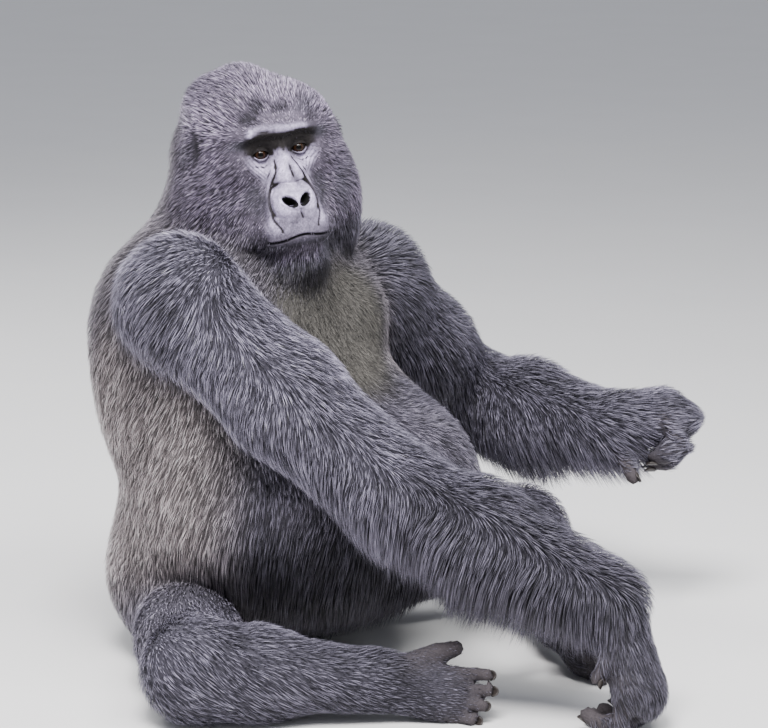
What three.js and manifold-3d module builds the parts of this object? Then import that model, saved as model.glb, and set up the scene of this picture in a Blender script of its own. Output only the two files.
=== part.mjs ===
// A silverback mountain gorilla sitting on the ground, life size, a still museum model.
// Millimetres, +Z up. The animal faces -Y and its left side is +X, so its right hand is at -X.
// Sizes below are in centimetres and reach to the tips of the coat; places are (left, front, up).
import * as THREE from 'three';
import { mergeVertices } from 'three/addons/utils/BufferGeometryUtils.js';
import Module from 'manifold-3d';

const wasm = await Module();
wasm.setup();

// ---------------------------------------------------------------- driving sizes
const CM = 10;                 // millimetres in a centimetre
const GAP = 0.3;               // clearance between neighbouring solids, mm
const FAR = 900;               // longest ray and half-space size, mm
const SIDES = { right: -1, left: 1 };

const HEAD_AT = [-2.3, 16.2, 88.2];
const HEAD_YAW = 28;           // degrees the face turns to the animal's right
const HEAD_ROLL = 8;           // degrees the crown leans to the animal's right
const HEAD_NOD = 3;            // degrees the face looks up
const EYE = { apart: 3.35, front: 8.35, up: 0.1, radius: 1.3 };

const SHOULDER = { right: [-23, 17, 64.5], left: [28, 13.4, 59.6] };
const ELBOW = { right: [-11.5, 52, 36], left: [59, 12, 33.6] };
const WRIST = { right: [4.2, 84, 20.4], left: [57.5, 46.5, 32.8] };
const KNUCKLE = { right: [4.4, 90.0, 7.0], left: [63.8, 54.4, 34.6] };
const HIP = { right: [-14, 8, 9.2], left: [15, 9, 11.8] };
const KNEE = { right: [-38, 33, 8.3], left: [43.5, 36.5, 15.2] };
const ANKLE = { right: [-18.5, 54, 6.6], left: [27, 57, 6.8] };

const UPPER_ARM = [10.6, 10.3, 9.2];     // radius at the shoulder, half way and at the elbow
const FOREARM = { right: [8.8, 9.4, 7.2], left: [9.2, 9.8, 7.2] };
const FRINGE = { right: [5.2, 8.6], left: [1.2, 8.6] };   // long hair under the forearm: drop, radius
const THIGH = { right: [9.4, 8.8, 8.2], left: [12, 10, 8.2] };
const SHIN = [8.2, 7.8, 5.2];

const FINGERS = [['index', -1.5, 0.92], ['middle', -0.5, 1], ['ring', 0.5, 0.96], ['little', 1.5, 0.8]];
const FINGER = { apart: 3.3, bones: [5.5, 3.9, 2.8], radius: 1.6, thinning: 0.95 };
const FINGER_BEND = { right: [30, 64, 48], left: [76, 70, 42] };
const THUMB = { bones: [4.4, 3.2], radius: [1.7, 1.5, 1.2], bend: 18 };
const TOES = [['toe_5', -1.5, 0.78], ['toe_4', -0.5, 0.9], ['toe_3', 0.5, 1], ['toe_2', 1.5, 0.96]];
const TOE = { apart: 2.5, bones: [3.4, 2.6], radius: 1.22, bend: [10, 32] };
const BIG_TOE = { bones: [4.6, 3.1], radius: [2.2, 1.95, 1.5], bend: 12 };

const COAT = 0x2b2a2e;
const SADDLE = 0x77716c;
const SKIN = 0x39363b;
const CHEST = 0x35332f;

// ---------------------------------------------------------------- places and directions
const vec = (a) => new THREE.Vector3(a[0], -a[1], a[2]);
const at = (...a) => vec(a).multiplyScalar(CM);
const way = (...a) => vec(a).normalize();
const turned = (v, axis, degrees) => v.clone().applyAxisAngle(axis, THREE.MathUtils.degToRad(degrees));
const between = (a, b, t) => a.clone().lerp(b, t);
const moved = (p, d, cm) => p.clone().addScaledVector(d, cm * CM);
const across = (a, b) => new THREE.Vector3().crossVectors(a, b).normalize();

const joint = (table, side) => at(...table[side]);

const headAxes = (() => {
  let left = new THREE.Vector3(1, 0, 0);
  let front = turned(new THREE.Vector3(0, -1, 0), left, HEAD_NOD);
  let up = turned(new THREE.Vector3(0, 0, 1), left, HEAD_NOD);
  const z = new THREE.Vector3(0, 0, 1);
  [left, front, up] = [left, front, up].map((v) => turned(v, z, -HEAD_YAW));
  return { left: turned(left, front, HEAD_ROLL), front, up: turned(up, front, HEAD_ROLL) };
})();
const headCentre = at(...HEAD_AT);
const inHead = (l, f, u) => moved(moved(moved(headCentre, headAxes.left, l), headAxes.front, f),
  headAxes.up, u);

// ---------------------------------------------------------------- shapes as signed distances
// Each shape is a function of a point that is negative inside and grows outwards, in mm.
const blob = (centre, radii) => {
  const r = radii.map((v) => v * CM);
  return (p) => {
    const q = [p.x - centre.x, p.y - centre.y, p.z - centre.z];
    const k0 = Math.hypot(q[0] / r[0], q[1] / r[1], q[2] / r[2]);
    const k1 = Math.hypot(q[0] / r[0] ** 2, q[1] / r[1] ** 2, q[2] / r[2] ** 2) + 1e-9;
    return (k0 * (k0 - 1)) / k1;
  };
};

// A tapered rod with round ends. Where a thin direction is given, that width is only a share of the radius.
const limb = (a, b, radiusA, radiusB, thin = null, share = 1) => {
  const d = b.clone().sub(a);
  const length = d.length();
  d.divideScalar(length);
  const n = thin && thin.clone().addScaledVector(d, -thin.dot(d)).normalize();
  const w = new THREE.Vector3();
  return (p) => {
    w.subVectors(p, a);
    const h = Math.min(Math.max(w.dot(d) / length, 0), 1);
    w.addScaledVector(d, -h * length);
    if (n) w.addScaledVector(n, w.dot(n) * (1 / share - 1));
    return w.length() - (radiusA + (radiusB - radiusA) * h) * CM;
  };
};

const blend = (a, b, k) => {
  const h = Math.min(Math.max(0.5 + (0.5 * (b - a)) / k, 0), 1);
  return b * (1 - h) + a * h - k * h * (1 - h);
};
const join = (k, ...shapes) => (p) => shapes.slice(1).reduce((d, s) => blend(d, s(p), k * CM), shapes[0](p));
const carve = (k, shape, ...tools) => (p) => tools.reduce((d, t) => -blend(-d, t(p), k * CM), shape(p));
const grown = (shape, mm) => (p) => shape(p) - mm;
const pair = (make) => [make(-1), make(1)];

// A shape written for the left half of the head, in head places, and mirrored to the right half.
const onHead = (shape) => {
  const q = new THREE.Vector3();
  const d = new THREE.Vector3();
  return (p) => {
    d.subVectors(p, headCentre);
    q.set(Math.abs(d.dot(headAxes.left)), d.dot(headAxes.front), d.dot(headAxes.up));
    return shape(q);
  };
};
const h = (l, f, u) => new THREE.Vector3(l, f, u).multiplyScalar(CM);

// ---------------------------------------------------------------- the animal's masses
const skull = join(5,
  blob(h(0, -0.5, 1.0), [11.6, 10.8, 9.8]),      // braincase with its coat
  blob(h(0, -3.4, 6.8), [5.6, 7.8, 7.0]),        // sagittal crest
  blob(h(0, -7.0, -2.6), [9.6, 6.2, 11]),          // neck muscles behind the skull
  blob(h(6.9, 0.6, 3.8), [5.6, 7.4, 6.0]),       // temples
  blob(h(9.8, 0.8, -6.4), [4.9, 6.8, 8.6]),      // cheeks and their hair
  blob(h(0, 2.7, -13.6), [10.0, 8.8, 8.0]),      // jaw and beard
  blob(h(6.0, 5.2, -8.6), [4.4, 4.4, 5.4]));     // fullness below the cheekbone
const face = join(3,
  join(3.2, skull, blob(h(6.7, 6.9, -2.0), [3.0, 2.7, 2.5]),   // cheekbones
    blob(h(0, 8.7, -5.4), [3.5, 5.0, 6.6])),                       // root of the muzzle
  blob(h(0, 10.6, -12.4), [5.5, 5.1, 4.4]),                    // upper lip
  blob(h(0, 8.2, -18.8), [6.2, 5.4, 5.3]));                    // chin
const browed = join(2, face, limb(h(0, 9.3, 3.7), h(5.5, 8, 3.3), 1.65, 1.75),
  blob(h(0, 12.7, -8.7), [3.2, 2.4, 2.7]));                      // brow bar and nose pad
const headShape = onHead(carve(1.5, browed, blob(h(EYE.apart, 11.4, 0.2), [2.5, 2.4, 1.75])));
const EAR = { out: 13.1, front: 0.2, up: 0.0, size: [2.4, 2.1, 3.0] };
const earShape = onHead(blob(h(EAR.out, EAR.front, EAR.up), EAR.size));

const trunkShape = join(3.5,
  join(8,
    join(6, blob(at(0, 7, 17), [24.5, 19, 18.5]),
      ...pair((s) => blob(at(10.5 * s, 5, 11.9), [12, 13, 12.5]))),          // rump
    join(9, blob(at(4.5, 24, 28), [28, 27, 22]), blob(at(-2, 17, 30), [26, 21, 22]),
      blob(at(0, 10.5, 41.5), [26.5, 22, 19])),                              // belly and waist
    join(8, blob(at(0, 11, 54), [26, 18, 22]), blob(at(0, 9.8, 63), [25, 13.2, 13.5]),
      ...pair((s) => blob(at(15 * s, 3.6, 55), [12.5, 11, 17]))),            // ribs, shoulder blades
    limb(at(0, 9, 69), moved(moved(headCentre, way(0, -1, 0), 7), way(0, 0, -1), 3), 15, 10.8)),      // neck
  ...pair((s) => blob(at(10.5 * s, 19.2, 57), [12.5, 9.6, 11])));            // breast muscles

const armShape = (side) => {
  const [a, e, w] = [SHOULDER, ELBOW, WRIST].map((table) => joint(table, side));
  const middle = moved(between(a, e, 0.5), way(0, 0, -1), 0.6);
  const bulge = between(e, w, 0.4);
  const [drop, radius] = FRINGE[side];
  const [r0, r1, r2] = FOREARM[side];
  const down = (p) => moved(p, way(0, 0, -1), drop);
  return join(4, blob(moved(a, way(SIDES[side], 0, 0), 0.5), [10.5, 11, 11.5]),
    limb(a, middle, UPPER_ARM[0], UPPER_ARM[1]), limb(middle, e, UPPER_ARM[1], UPPER_ARM[2]),
    limb(e, bulge, r0, r1), limb(bulge, w, r1, r2), limb(down(e), down(between(e, w, 0.8)), radius, r2));
};

const legShape = (side) => {
  const [a, k, n] = [HIP, KNEE, ANKLE].map((table) => joint(table, side));
  const middle = between(a, k, 0.5);
  const calf = between(k, n, 0.35);
  const [r0, r1, r2] = THIGH[side];
  return join(4, limb(a, middle, r0, r1), limb(middle, k, r1, r2), limb(k, calf, SHIN[0], SHIN[1]),
    limb(calf, n, SHIN[1], SHIN[2]));
};

// A digit is its joints with their radii, and bends about one axis.
const digit = (start, direction, axis, bones, bends, radii) => {
  const points = [start.clone()];
  let d = direction.clone();
  bones.forEach((bone, i) => {
    d = turned(d, axis, bends[i] ?? 0);
    points.push(moved(points[i], d, bone));
  });
  const rods = bones.map((bone, i) => limb(points[i], points[i + 1], radii[i], radii[i + 1]));
  return { points, axis, shape: join(0.5, ...rods) };
};

// The right hand stands on its knuckles on the ground, the left one hangs limp over the left knee.
const PALM_WAY = { right: way(-0.2, -0.75, -0.6), left: way(-0.32, -0.1, -1) };
const THUMB_BASE = { right: [-3.4, 2.6, -4.4], left: [-3.6, 2.4, -2.6] };
const THUMB_WAY = { right: way(-0.35, 0.1, -0.9), left: way(-0.25, 0.85, -0.45) };

const handOf = (side) => {
  const wrist = joint(WRIST, side);
  const knuckle = joint(KNUCKLE, side);
  const along = knuckle.clone().sub(wrist).normalize();
  const palmWay = PALM_WAY[side];
  const row = across(palmWay, along).multiplyScalar(SIDES[side]);
  const bendAxis = across(along, palmWay);
  const reach = (k) => moved(knuckle, row, k * FINGER.apart);
  const palm = join(1.5, limb(wrist, knuckle, 6.2, 5.6, palmWay, 0.76),
    limb(reach(-1.15), reach(1.1), 2.9, 2.7), limb(moved(wrist, along, 2), reach(-1), 3.6, 3.0));
  const digits = {};
  for (const [name, k, size] of FINGERS) {
    const start = moved(reach(k), along, -0.5 * Math.abs(k));
    const radii = FINGER.bones.reduce((list, _, i) => [...list, list[i] * FINGER.thinning], [FINGER.radius]);
    digits[name] = digit(start, along, bendAxis, FINGER.bones.map((b) => b * size), FINGER_BEND[side], radii);
  }
  const base = wrist.clone().add(at(...THUMB_BASE[side]));
  digits.thumb = digit(base, THUMB_WAY[side], bendAxis, THUMB.bones, [0, THUMB.bend], THUMB.radius);
  return { palm, digits, along, wrist, knuckle, row };
};

// The feet lie on their outer edges, soles turned to each other, big toes uppermost.
const TOE_WAY = { right: way(0.64, 0.76, -0.12), left: way(-0.6, 0.78, -0.12) };
const EDGE_WAY = { right: way(0.25, -0.35, 1), left: way(-0.25, -0.35, 1) };

const footOf = (side) => {
  const s = SIDES[side];
  const ankle = joint(ANKLE, side);
  const along = TOE_WAY[side];
  const edge = EDGE_WAY[side].clone().addScaledVector(along, -EDGE_WAY[side].dot(along)).normalize();
  const sole = across(along, edge).multiplyScalar(s);
  const heel = moved(moved(ankle, along, -4), edge, -1.6);
  const ball = moved(moved(ankle, along, 11.5), edge, -1.2);
  const foot = join(2, limb(heel, moved(ankle, along, 3), 4.2, 4.4),
    limb(ankle, ball, 5.0, 4.8, sole, 0.62));
  const digits = {};
  for (const [name, k, size] of TOES) {
    const start = moved(moved(moved(ball, edge, k * TOE.apart), along, 2), along, -0.4 * Math.abs(k - 0.5));
    const radii = [TOE.radius, TOE.radius * 0.97, TOE.radius * 0.9];
    digits[name] = digit(start, along, edge.clone().multiplyScalar(s), TOE.bones.map((b) => b * size),
      TOE.bend, radii);
  }
  const start = moved(moved(ankle, along, 6), edge, 3.2);
  const outward = along.clone().addScaledVector(edge, 0.5).addScaledVector(sole, 0.3).normalize();
  digits.big_toe = digit(start, outward, edge.clone().multiplyScalar(s), BIG_TOE.bones, [0, BIG_TOE.bend],
    BIG_TOE.radius);
  return { foot, digits, along, ankle, heel, ball };
};

// ---------------------------------------------------------------- solids
const solid = (geometry) => {
  const plain = geometry.clone();
  Object.keys(plain.attributes).filter((key) => key !== 'position')
    .forEach((key) => plain.deleteAttribute(key));
  const merged = mergeVertices(plain, 1e-4);
  const index = Array.from(merged.index.array);
  const kept = [];
  for (let i = 0; i < index.length; i += 3) {
    const [a, b, c] = index.slice(i, i + 3);
    if (a !== b && b !== c && c !== a) kept.push(a, b, c);
  }
  return new wasm.Manifold(new wasm.Mesh({
    numProp: 3,
    vertProperties: Float32Array.from(merged.attributes.position.array),
    triVerts: Uint32Array.from(kept),
  }));
};

// Distance along a ray from inside a shape to its surface.
const reachOf = (shape, origin, direction) => {
  const p = new THREE.Vector3();
  const value = (t) => shape(p.copy(origin).addScaledVector(direction, t));
  let [t, last] = [0, 0];
  while (t < FAR) {
    const d = value(t);
    if (d > 0) break;
    last = t;
    t += Math.max(1, -0.7 * d);
  }
  let [low, high] = [last, t];
  for (let i = 0; i < 24; i += 1) {
    const middle = (low + high) / 2;
    if (value(middle) > 0) high = middle;
    else low = middle;
  }
  return low;
};

// A capsule whose axis follows a path inside a shape, each vertex pushed out to the shape's surface.
// `facing` is the direction of its first meridian and `crowd` draws the meridians towards it. The rings lie
// across the path, or turn from the first of two `normals` to the second, so that they end along a cut.
const wrapped = (shape, path, facing, [around, caps, rings], { crowd = 0, normals = null } = {}) => {
  const curve = path.length > 2 ? new THREE.CatmullRomCurve3(path) : new THREE.LineCurve3(path[0], path[1]);
  const geometry = new THREE.CapsuleGeometry(1, 1, caps, around, rings);
  const position = geometry.attributes.position;
  const v = new THREE.Vector3();
  for (let i = 0; i < position.count; i += 1) {
    v.fromBufferAttribute(position, i);
    const t = Math.min(Math.max(v.y + 0.5, 0), 1);
    const rise = v.y + 0.5 - t;
    const spread = Math.hypot(v.x, v.z);
    const angle = Math.atan2(v.z, v.x);
    const drawn = angle - crowd * Math.sin(angle);
    const tangent = normals ? normals[0].clone().lerp(normals[1], t).normalize() : curve.getTangentAt(t);
    const first = facing.clone().addScaledVector(tangent, -facing.dot(tangent)).normalize();
    const second = across(first, tangent);
    const direction = new THREE.Vector3().addScaledVector(first, spread * Math.cos(drawn))
      .addScaledVector(second, spread * Math.sin(drawn)).addScaledVector(tangent, rise).normalize();
    const origin = curve.getPointAt(t);
    const p = origin.clone().addScaledVector(direction, reachOf(shape, origin, direction));
    position.setXYZ(i, p.x, p.y, p.z);
  }
  return solid(geometry);
};

// Everything on the far side of a plane, as a box, and a shape that ends a little beyond such a plane.
const beyond = (point, normal, gap = GAP / 2) => {
  const box = new THREE.BoxGeometry(2 * FAR, 2 * FAR, 2 * FAR);
  const matrix = new THREE.Matrix4();
  const turn = new THREE.Quaternion().setFromUnitVectors(new THREE.Vector3(0, 0, 1), normal);
  matrix.compose(point.clone().addScaledVector(normal, FAR - gap), turn, new THREE.Vector3(1, 1, 1));
  return solid(box.applyMatrix4(matrix));
};
const slab = (shape, point, normal, margin = 3) => {
  const offset = moved(point, normal, margin);
  return (p) => Math.max(shape(p), (p.x - offset.x) * normal.x + (p.y - offset.y) * normal.y
    + (p.z - offset.z) * normal.z);
};
const ground = beyond(at(0, 0, 0), new THREE.Vector3(0, 0, -1), 0);
const back = (v) => v.clone().negate();

const model = new THREE.Group();
model.name = 'silverback_gorilla';
const add = (name, manifold, color, roughness = 0.85, metalness = 0) => {
  const mesh = manifold.getMesh();
  const geometry = new THREE.BufferGeometry();
  geometry.setAttribute('position', new THREE.BufferAttribute(Float32Array.from(mesh.vertProperties), 3));
  geometry.setIndex(new THREE.BufferAttribute(Uint32Array.from(mesh.triVerts), 1));
  geometry.computeVertexNormals();
  const node = new THREE.Mesh(geometry, new THREE.MeshStandardMaterial({ color, roughness, metalness }));
  node.name = name;
  model.add(node);
};

// ---------------------------------------------------------------- trunk and neck
const HEAD_GRID = [32, 6, 18];
const headPath = [inHead(0, 1.4, -12), inHead(0, -1.2, 2.6)];
const headAs = (mm, grid, crowd) => wrapped(grown(headShape, mm), headPath, headAxes.front, grid, { crowd });
const headCut = headAs(GAP, HEAD_GRID, 0.45);
const TRUNK_GRID = [26, 5, 14];
const trunkPath = [at(0, 13, 14), at(1, 16, 32), at(0, 12, 52), at(-0.5, 9.5, 66), at(-1.5, 9.5, 80)];
const trunkAs = (mm) => wrapped(grown(trunkShape, mm), trunkPath, way(0, 1, 0), TRUNK_GRID);
const trunkCut = trunkAs(GAP);
const torso = trunkAs(0).subtract(ground);
const CUTS = [                                                 // where one part of the trunk meets the next
  [at(0, 10, 23), way(0, 0, 1)],
  [at(0, 20, 48.5), way(0, 0.12, 1)],
  [at(0, 16, 69.5), way(0, 0.35, 1)],
];
['rump', 'belly', 'chest', 'neck'].forEach((name, i) => {
  let piece = torso;
  if (i < 3) piece = piece.subtract(beyond(...CUTS[i]));
  if (i > 0) piece = piece.subtract(beyond(CUTS[i - 1][0], back(CUTS[i - 1][1])));
  add(name, piece, [SADDLE, COAT, CHEST, COAT][i]);
});

// ---------------------------------------------------------------- head, ears and eyes
let head = headAs(0, HEAD_GRID, 0.45).subtract(trunkCut);
for (const [side, s] of Object.entries(SIDES)) {
  const ball = new THREE.SphereGeometry(EYE.radius * CM, 10, 7);
  const centre = inHead(EYE.apart * s, EYE.front, EYE.up);
  add(`eye_${side}`, solid(ball.clone().translate(centre.x, centre.y, centre.z)), 0x5a3216, 0.15);
  const larger = new THREE.SphereGeometry(EYE.radius * CM + GAP, 10, 7);
  head = head.subtract(solid(larger.translate(centre.x, centre.y, centre.z)));
  const outward = headAxes.left.clone().multiplyScalar(s);
  const earPath = [-0.8, 0.8].map((u) => inHead(EAR.out * s, EAR.front, EAR.up + u));
  const ear = wrapped(earShape, earPath, outward, [8, 2, 2]);
  add(`ear_${side}`, ear.subtract(headCut).subtract(trunkCut), SKIN);
}
add('head', head, COAT);

// ---------------------------------------------------------------- arms and hands
const LIMB_GRID = [14, 4, 5];
for (const side of Object.keys(SIDES)) {
  const [shoulder, elbow] = [SHOULDER, ELBOW].map((table) => joint(table, side));
  const hand = handOf(side);
  const { wrist, knuckle, palm, digits } = hand;
  const arm = armShape(side);
  const whole = join(2.5, arm, palm);
  const upperWay = elbow.clone().sub(shoulder).normalize();
  const lowerWay = wrist.clone().sub(elbow).normalize();
  const elbowWay = upperWay.clone().add(lowerWay).normalize();
  const wristWay = lowerWay.clone().add(hand.along).normalize();
  const facing = across(upperWay, way(0.2, 0.1, 1));

  const upper = wrapped(slab(arm, elbow, elbowWay), [shoulder, moved(elbow, upperWay, 1)], facing, LIMB_GRID,
    { normals: [upperWay, elbowWay] });
  add(`upper_arm_${side}`, upper.subtract(trunkCut).subtract(headCut)
    .subtract(beyond(elbow, elbowWay)), COAT);
  const middle = slab(slab(whole, elbow, back(elbowWay)), wrist, wristWay, 2);
  const fore = wrapped(middle, [moved(elbow, lowerWay, -1), moved(wrist, lowerWay, 1)], facing, [16, 3, 7],
    { normals: [elbowWay, wristWay] });
  add(`forearm_${side}`, fore.subtract(trunkCut).subtract(beyond(elbow, back(elbowWay)))
    .subtract(beyond(wrist, wristWay)), COAT);

  const handPath = [moved(wrist, hand.along, -0.5), moved(knuckle, hand.along, -1)];
  const handShape = slab(whole, wrist, back(wristWay), 2);
  const handAs = (mm) => wrapped(grown(handShape, mm), handPath, hand.row, [12, 3, 3],
    { normals: [wristWay, hand.along] });
  const handCut = handAs(GAP);
  let claimed = null;
  for (const [name, finger] of Object.entries(digits)) {
    const fingerAs = (mm) => wrapped(grown(finger.shape, mm), finger.points, finger.axis,
      name === 'thumb' ? [7, 2, 2] : [6, 2, 6]);
    let piece = fingerAs(0).subtract(handCut).subtract(ground);
    if (claimed) piece = piece.subtract(claimed);
    add(`${name}_${side}`, piece, SKIN);
    claimed = claimed ? claimed.add(fingerAs(GAP)) : fingerAs(GAP);
  }
  add(`hand_${side}`, handAs(0).subtract(beyond(wrist, back(wristWay))).subtract(ground), COAT);
}

// ---------------------------------------------------------------- legs and feet
for (const side of Object.keys(SIDES)) {
  const [hip, knee] = [HIP, KNEE].map((table) => joint(table, side));
  const step = footOf(side);
  const { ankle, foot, digits } = step;
  const leg = legShape(side);
  const whole = join(2, leg, foot);
  const thighWay = knee.clone().sub(hip).normalize();
  const shinWay = ankle.clone().sub(knee).normalize();
  const kneeWay = thighWay.clone().add(shinWay).normalize();
  const ankleWay = shinWay.clone().add(step.along).normalize();
  const up = way(0, 0, 1);

  const thigh = wrapped(slab(leg, knee, kneeWay), [hip, moved(knee, thighWay, 1)], up, LIMB_GRID,
    { normals: [thighWay, kneeWay] });
  add(`thigh_${side}`, thigh.subtract(trunkCut).subtract(beyond(knee, kneeWay)).subtract(ground), COAT);
  const middle = slab(slab(whole, knee, back(kneeWay)), ankle, ankleWay, 2);
  const shin = wrapped(middle, [moved(knee, shinWay, -1), moved(ankle, shinWay, 1)], up, LIMB_GRID,
    { normals: [kneeWay, ankleWay] });
  add(`shin_${side}`, shin.subtract(trunkCut).subtract(beyond(knee, back(kneeWay)))
    .subtract(beyond(ankle, ankleWay)).subtract(ground), COAT);

  const footPath = [moved(ankle, step.along, -0.5), moved(step.ball, step.along, -0.5)];
  const footShape = slab(whole, ankle, back(ankleWay), 2);
  const footAs = (mm) => wrapped(grown(footShape, mm), footPath, up, [12, 3, 4],
    { normals: [ankleWay, step.along] });
  const footCut = footAs(GAP);
  let claimed = null;
  for (const [name, toe] of Object.entries(digits)) {
    const toeAs = (mm) => wrapped(grown(toe.shape, mm), toe.points, toe.axis,
      name === 'big_toe' ? [7, 2, 2] : [6, 1, 2]);
    let piece = toeAs(0).subtract(footCut).subtract(ground);
    if (claimed) piece = piece.subtract(claimed);
    add(`${name}_${side}`, piece, SKIN);
    claimed = claimed ? claimed.add(toeAs(GAP)) : toeAs(GAP);
  }
  add(`foot_${side}`, footAs(0).subtract(beyond(ankle, back(ankleWay))).subtract(ground), SKIN);
}

// The origin is the middle of the bounding box on the ground.
const middle = new THREE.Box3().setFromObject(model).getCenter(new THREE.Vector3());
model.position.set(-middle.x, -middle.y, 0);

export default model;
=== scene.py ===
# %% Load the frame that the solids were packed in
import math

import bpy
import mathutils
import numpy as np
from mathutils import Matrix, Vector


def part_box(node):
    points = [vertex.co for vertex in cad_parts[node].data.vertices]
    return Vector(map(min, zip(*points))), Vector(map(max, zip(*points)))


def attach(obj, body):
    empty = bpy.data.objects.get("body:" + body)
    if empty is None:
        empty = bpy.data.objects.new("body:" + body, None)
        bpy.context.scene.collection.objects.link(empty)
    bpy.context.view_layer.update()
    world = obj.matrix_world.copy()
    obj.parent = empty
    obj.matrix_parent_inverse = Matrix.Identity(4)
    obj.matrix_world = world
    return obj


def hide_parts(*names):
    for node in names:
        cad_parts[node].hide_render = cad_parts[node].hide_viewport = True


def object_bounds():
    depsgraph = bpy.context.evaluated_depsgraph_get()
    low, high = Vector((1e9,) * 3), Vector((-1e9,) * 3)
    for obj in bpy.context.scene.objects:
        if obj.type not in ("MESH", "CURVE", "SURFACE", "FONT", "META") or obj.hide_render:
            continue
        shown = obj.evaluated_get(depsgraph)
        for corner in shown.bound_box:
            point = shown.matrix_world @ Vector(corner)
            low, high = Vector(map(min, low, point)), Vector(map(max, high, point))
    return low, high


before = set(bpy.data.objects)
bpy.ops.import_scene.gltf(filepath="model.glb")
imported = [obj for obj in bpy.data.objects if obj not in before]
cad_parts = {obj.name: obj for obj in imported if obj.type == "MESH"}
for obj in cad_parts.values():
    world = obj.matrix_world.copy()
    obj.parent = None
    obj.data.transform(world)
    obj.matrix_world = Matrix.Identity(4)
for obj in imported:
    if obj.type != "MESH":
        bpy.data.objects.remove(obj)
cad_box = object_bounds()
print("solids:", len(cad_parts), "reaching", [round(v, 3) for v in cad_box[1] - cad_box[0]])

# %% [markdown]
# # A silverback mountain gorilla, sitting
# This notebook dresses a life-size, still model of a male gorilla. The solids give the animal's size,
# out to the tips of its coat. Here they get one skin of flesh, two wet eyes, nails, and a coat made of
# many thousand small tufts of solid hair.
#
# ## Places on the body
# A body is easiest to describe as a person would: so far to its left, so far to its front, so far up,
# in centimetres. The animal looks along -Y with its left side at +X. Its head is turned, so the head
# has three directions of its own. Everything hangs on one known place, the middle of the right eye.

# %% Directions, places and the head's own axes
CM = 0.01
SIDES = {"right": -1, "left": 1}
HEAD_AT = (-2.3, 16.2, 88.2)
HEAD_TURN, HEAD_LEAN, HEAD_NOD = 28, 8, 3        # degrees: face to its right, crown to its right, up
EYE_OUT, EYE_FRONT, EYE_UP, EYE_RADIUS = 3.35, 8.35, 0.1, 1.3
LIDS_UP = EYE_UP + 0.13                            # the slit between the lids


def unit(v):
    return np.asarray(v, float) / np.linalg.norm(v)


def way(left, front, up):
    """A direction of length one, written as left, front, up."""
    return unit((left, -front, up))


def turned(v, axis, degrees):
    """A direction v turned about an axis k by an angle a, by Rodrigues' formula:
    v cos a + (k x v) sin a + k (k.v)(1 - cos a)."""
    a, k = math.radians(degrees), unit(axis)
    return v * math.cos(a) + np.cross(k, v) * math.sin(a) + k * (k @ v) * (1 - math.cos(a))


def head_directions():
    """The head's own left, front and up: nodded, then turned, then leant."""
    left, front, up = way(1, 0, 0), way(0, 1, 0), way(0, 0, 1)
    front, up = turned(front, left, HEAD_NOD), turned(up, left, HEAD_NOD)
    left, front, up = (turned(v, (0, 0, 1), -HEAD_TURN) for v in (left, front, up))
    return turned(left, front, HEAD_LEAN), front, turned(up, front, HEAD_LEAN)


head_axes = np.array(head_directions())           # rows: left, front, up of the head
right_eye = np.mean([np.array(corner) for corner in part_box("eye_right")], axis=0)
head_centre = right_eye - np.array((-EYE_OUT, EYE_FRONT, EYE_UP)) * CM @ head_axes
origin = head_centre - np.array((HEAD_AT[0], -HEAD_AT[1], HEAD_AT[2])) * CM


def at(left, front, up):
    """The place so many centimetres to the left, front and up."""
    return origin + np.array((left, -front, up)) * CM


def in_body(p):
    """Left, front and up of places, in centimetres: the way back from at()."""
    return (p - origin) / CM * np.array((1, -1, 1))


def moved(place, direction, centimetres):
    """A place pushed so many centimetres along a direction."""
    return place + direction * centimetres * CM


def on_head(left, front, up):
    """The place so many centimetres from the middle of the head, along the head's own axes."""
    return head_centre + np.array((left, front, up)) * CM @ head_axes


def in_head(points):
    """Where points lie as seen from the head: left, front, up, in metres."""
    return (points - head_centre) @ head_axes.T


print("middle of the head at", head_centre.round(3), "and the ground at", round(float(origin[2]), 5))

# %% [markdown]
# ## Masses as distances
# Flesh has no edges, so it isn't built from faces but from rounded masses that melt into each other.
# Each mass is a function that says how far a point is from its surface: negative inside, positive
# outside. Two masses join by a smooth minimum, which fills the crease between them as muscle and fat
# do, and a smooth maximum carves a hollow such as an eye socket. Metaballs in Blender work in the
# same way, but they can't be carved or told apart afterwards, so the sums are written out here.

# %% The kinds of mass


def blob(centre, radii):
    """An egg shape. With q the point from the centre and r the radii, the distance is nearly
    k0 (k0 - 1) / k1, where k0 is the length of q/r and k1 the length of q/r^2."""
    r = np.array(radii) * CM

    def distance(p):
        q = (p - centre) / r
        k0 = np.sqrt((q * q).sum(1))
        q /= r
        return k0 * (k0 - 1) / (np.sqrt((q * q).sum(1)) + 1e-9)
    return distance


def limb(a, b, radius_a, radius_b, thin=None, share=1.0):
    """A tapered rod with round ends from a to b. Across the thin direction, its width is only a share."""
    length = np.linalg.norm(b - a)
    d = (b - a) / length
    n = None if thin is None else unit(thin - d * (thin @ d))

    def distance(p):
        w = p - a
        h = np.clip(w @ d / length, 0, 1)
        w = w - (h * length)[:, None] * d
        if n is not None:
            w += (w @ n * (1 / share - 1))[:, None] * n
        return np.sqrt((w * w).sum(1)) - (radius_a + (radius_b - radius_a) * h) * CM
    return distance


def melt(a, b, k):
    """Smooth minimum of two distances: they blend where they differ by less than k."""
    h = np.clip(0.5 + 0.5 * (b - a) / k, 0, 1)
    return b * (1 - h) + a * h - k * h * (1 - h)


def join(k, *shapes):
    """Several masses melted together over k centimetres."""

    def distance(p):
        d = shapes[0](p)
        for shape in shapes[1:]:
            d = melt(d, shape(p), k * CM)
        return d
    return distance


def carve(k, shape, *tools):
    """A mass with others taken away: the smooth maximum of its distance and their negatives."""

    def distance(p):
        d = shape(p)
        for tool in tools:
            d = -melt(-d, tool(p), k * CM)
        return d
    return distance


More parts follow.
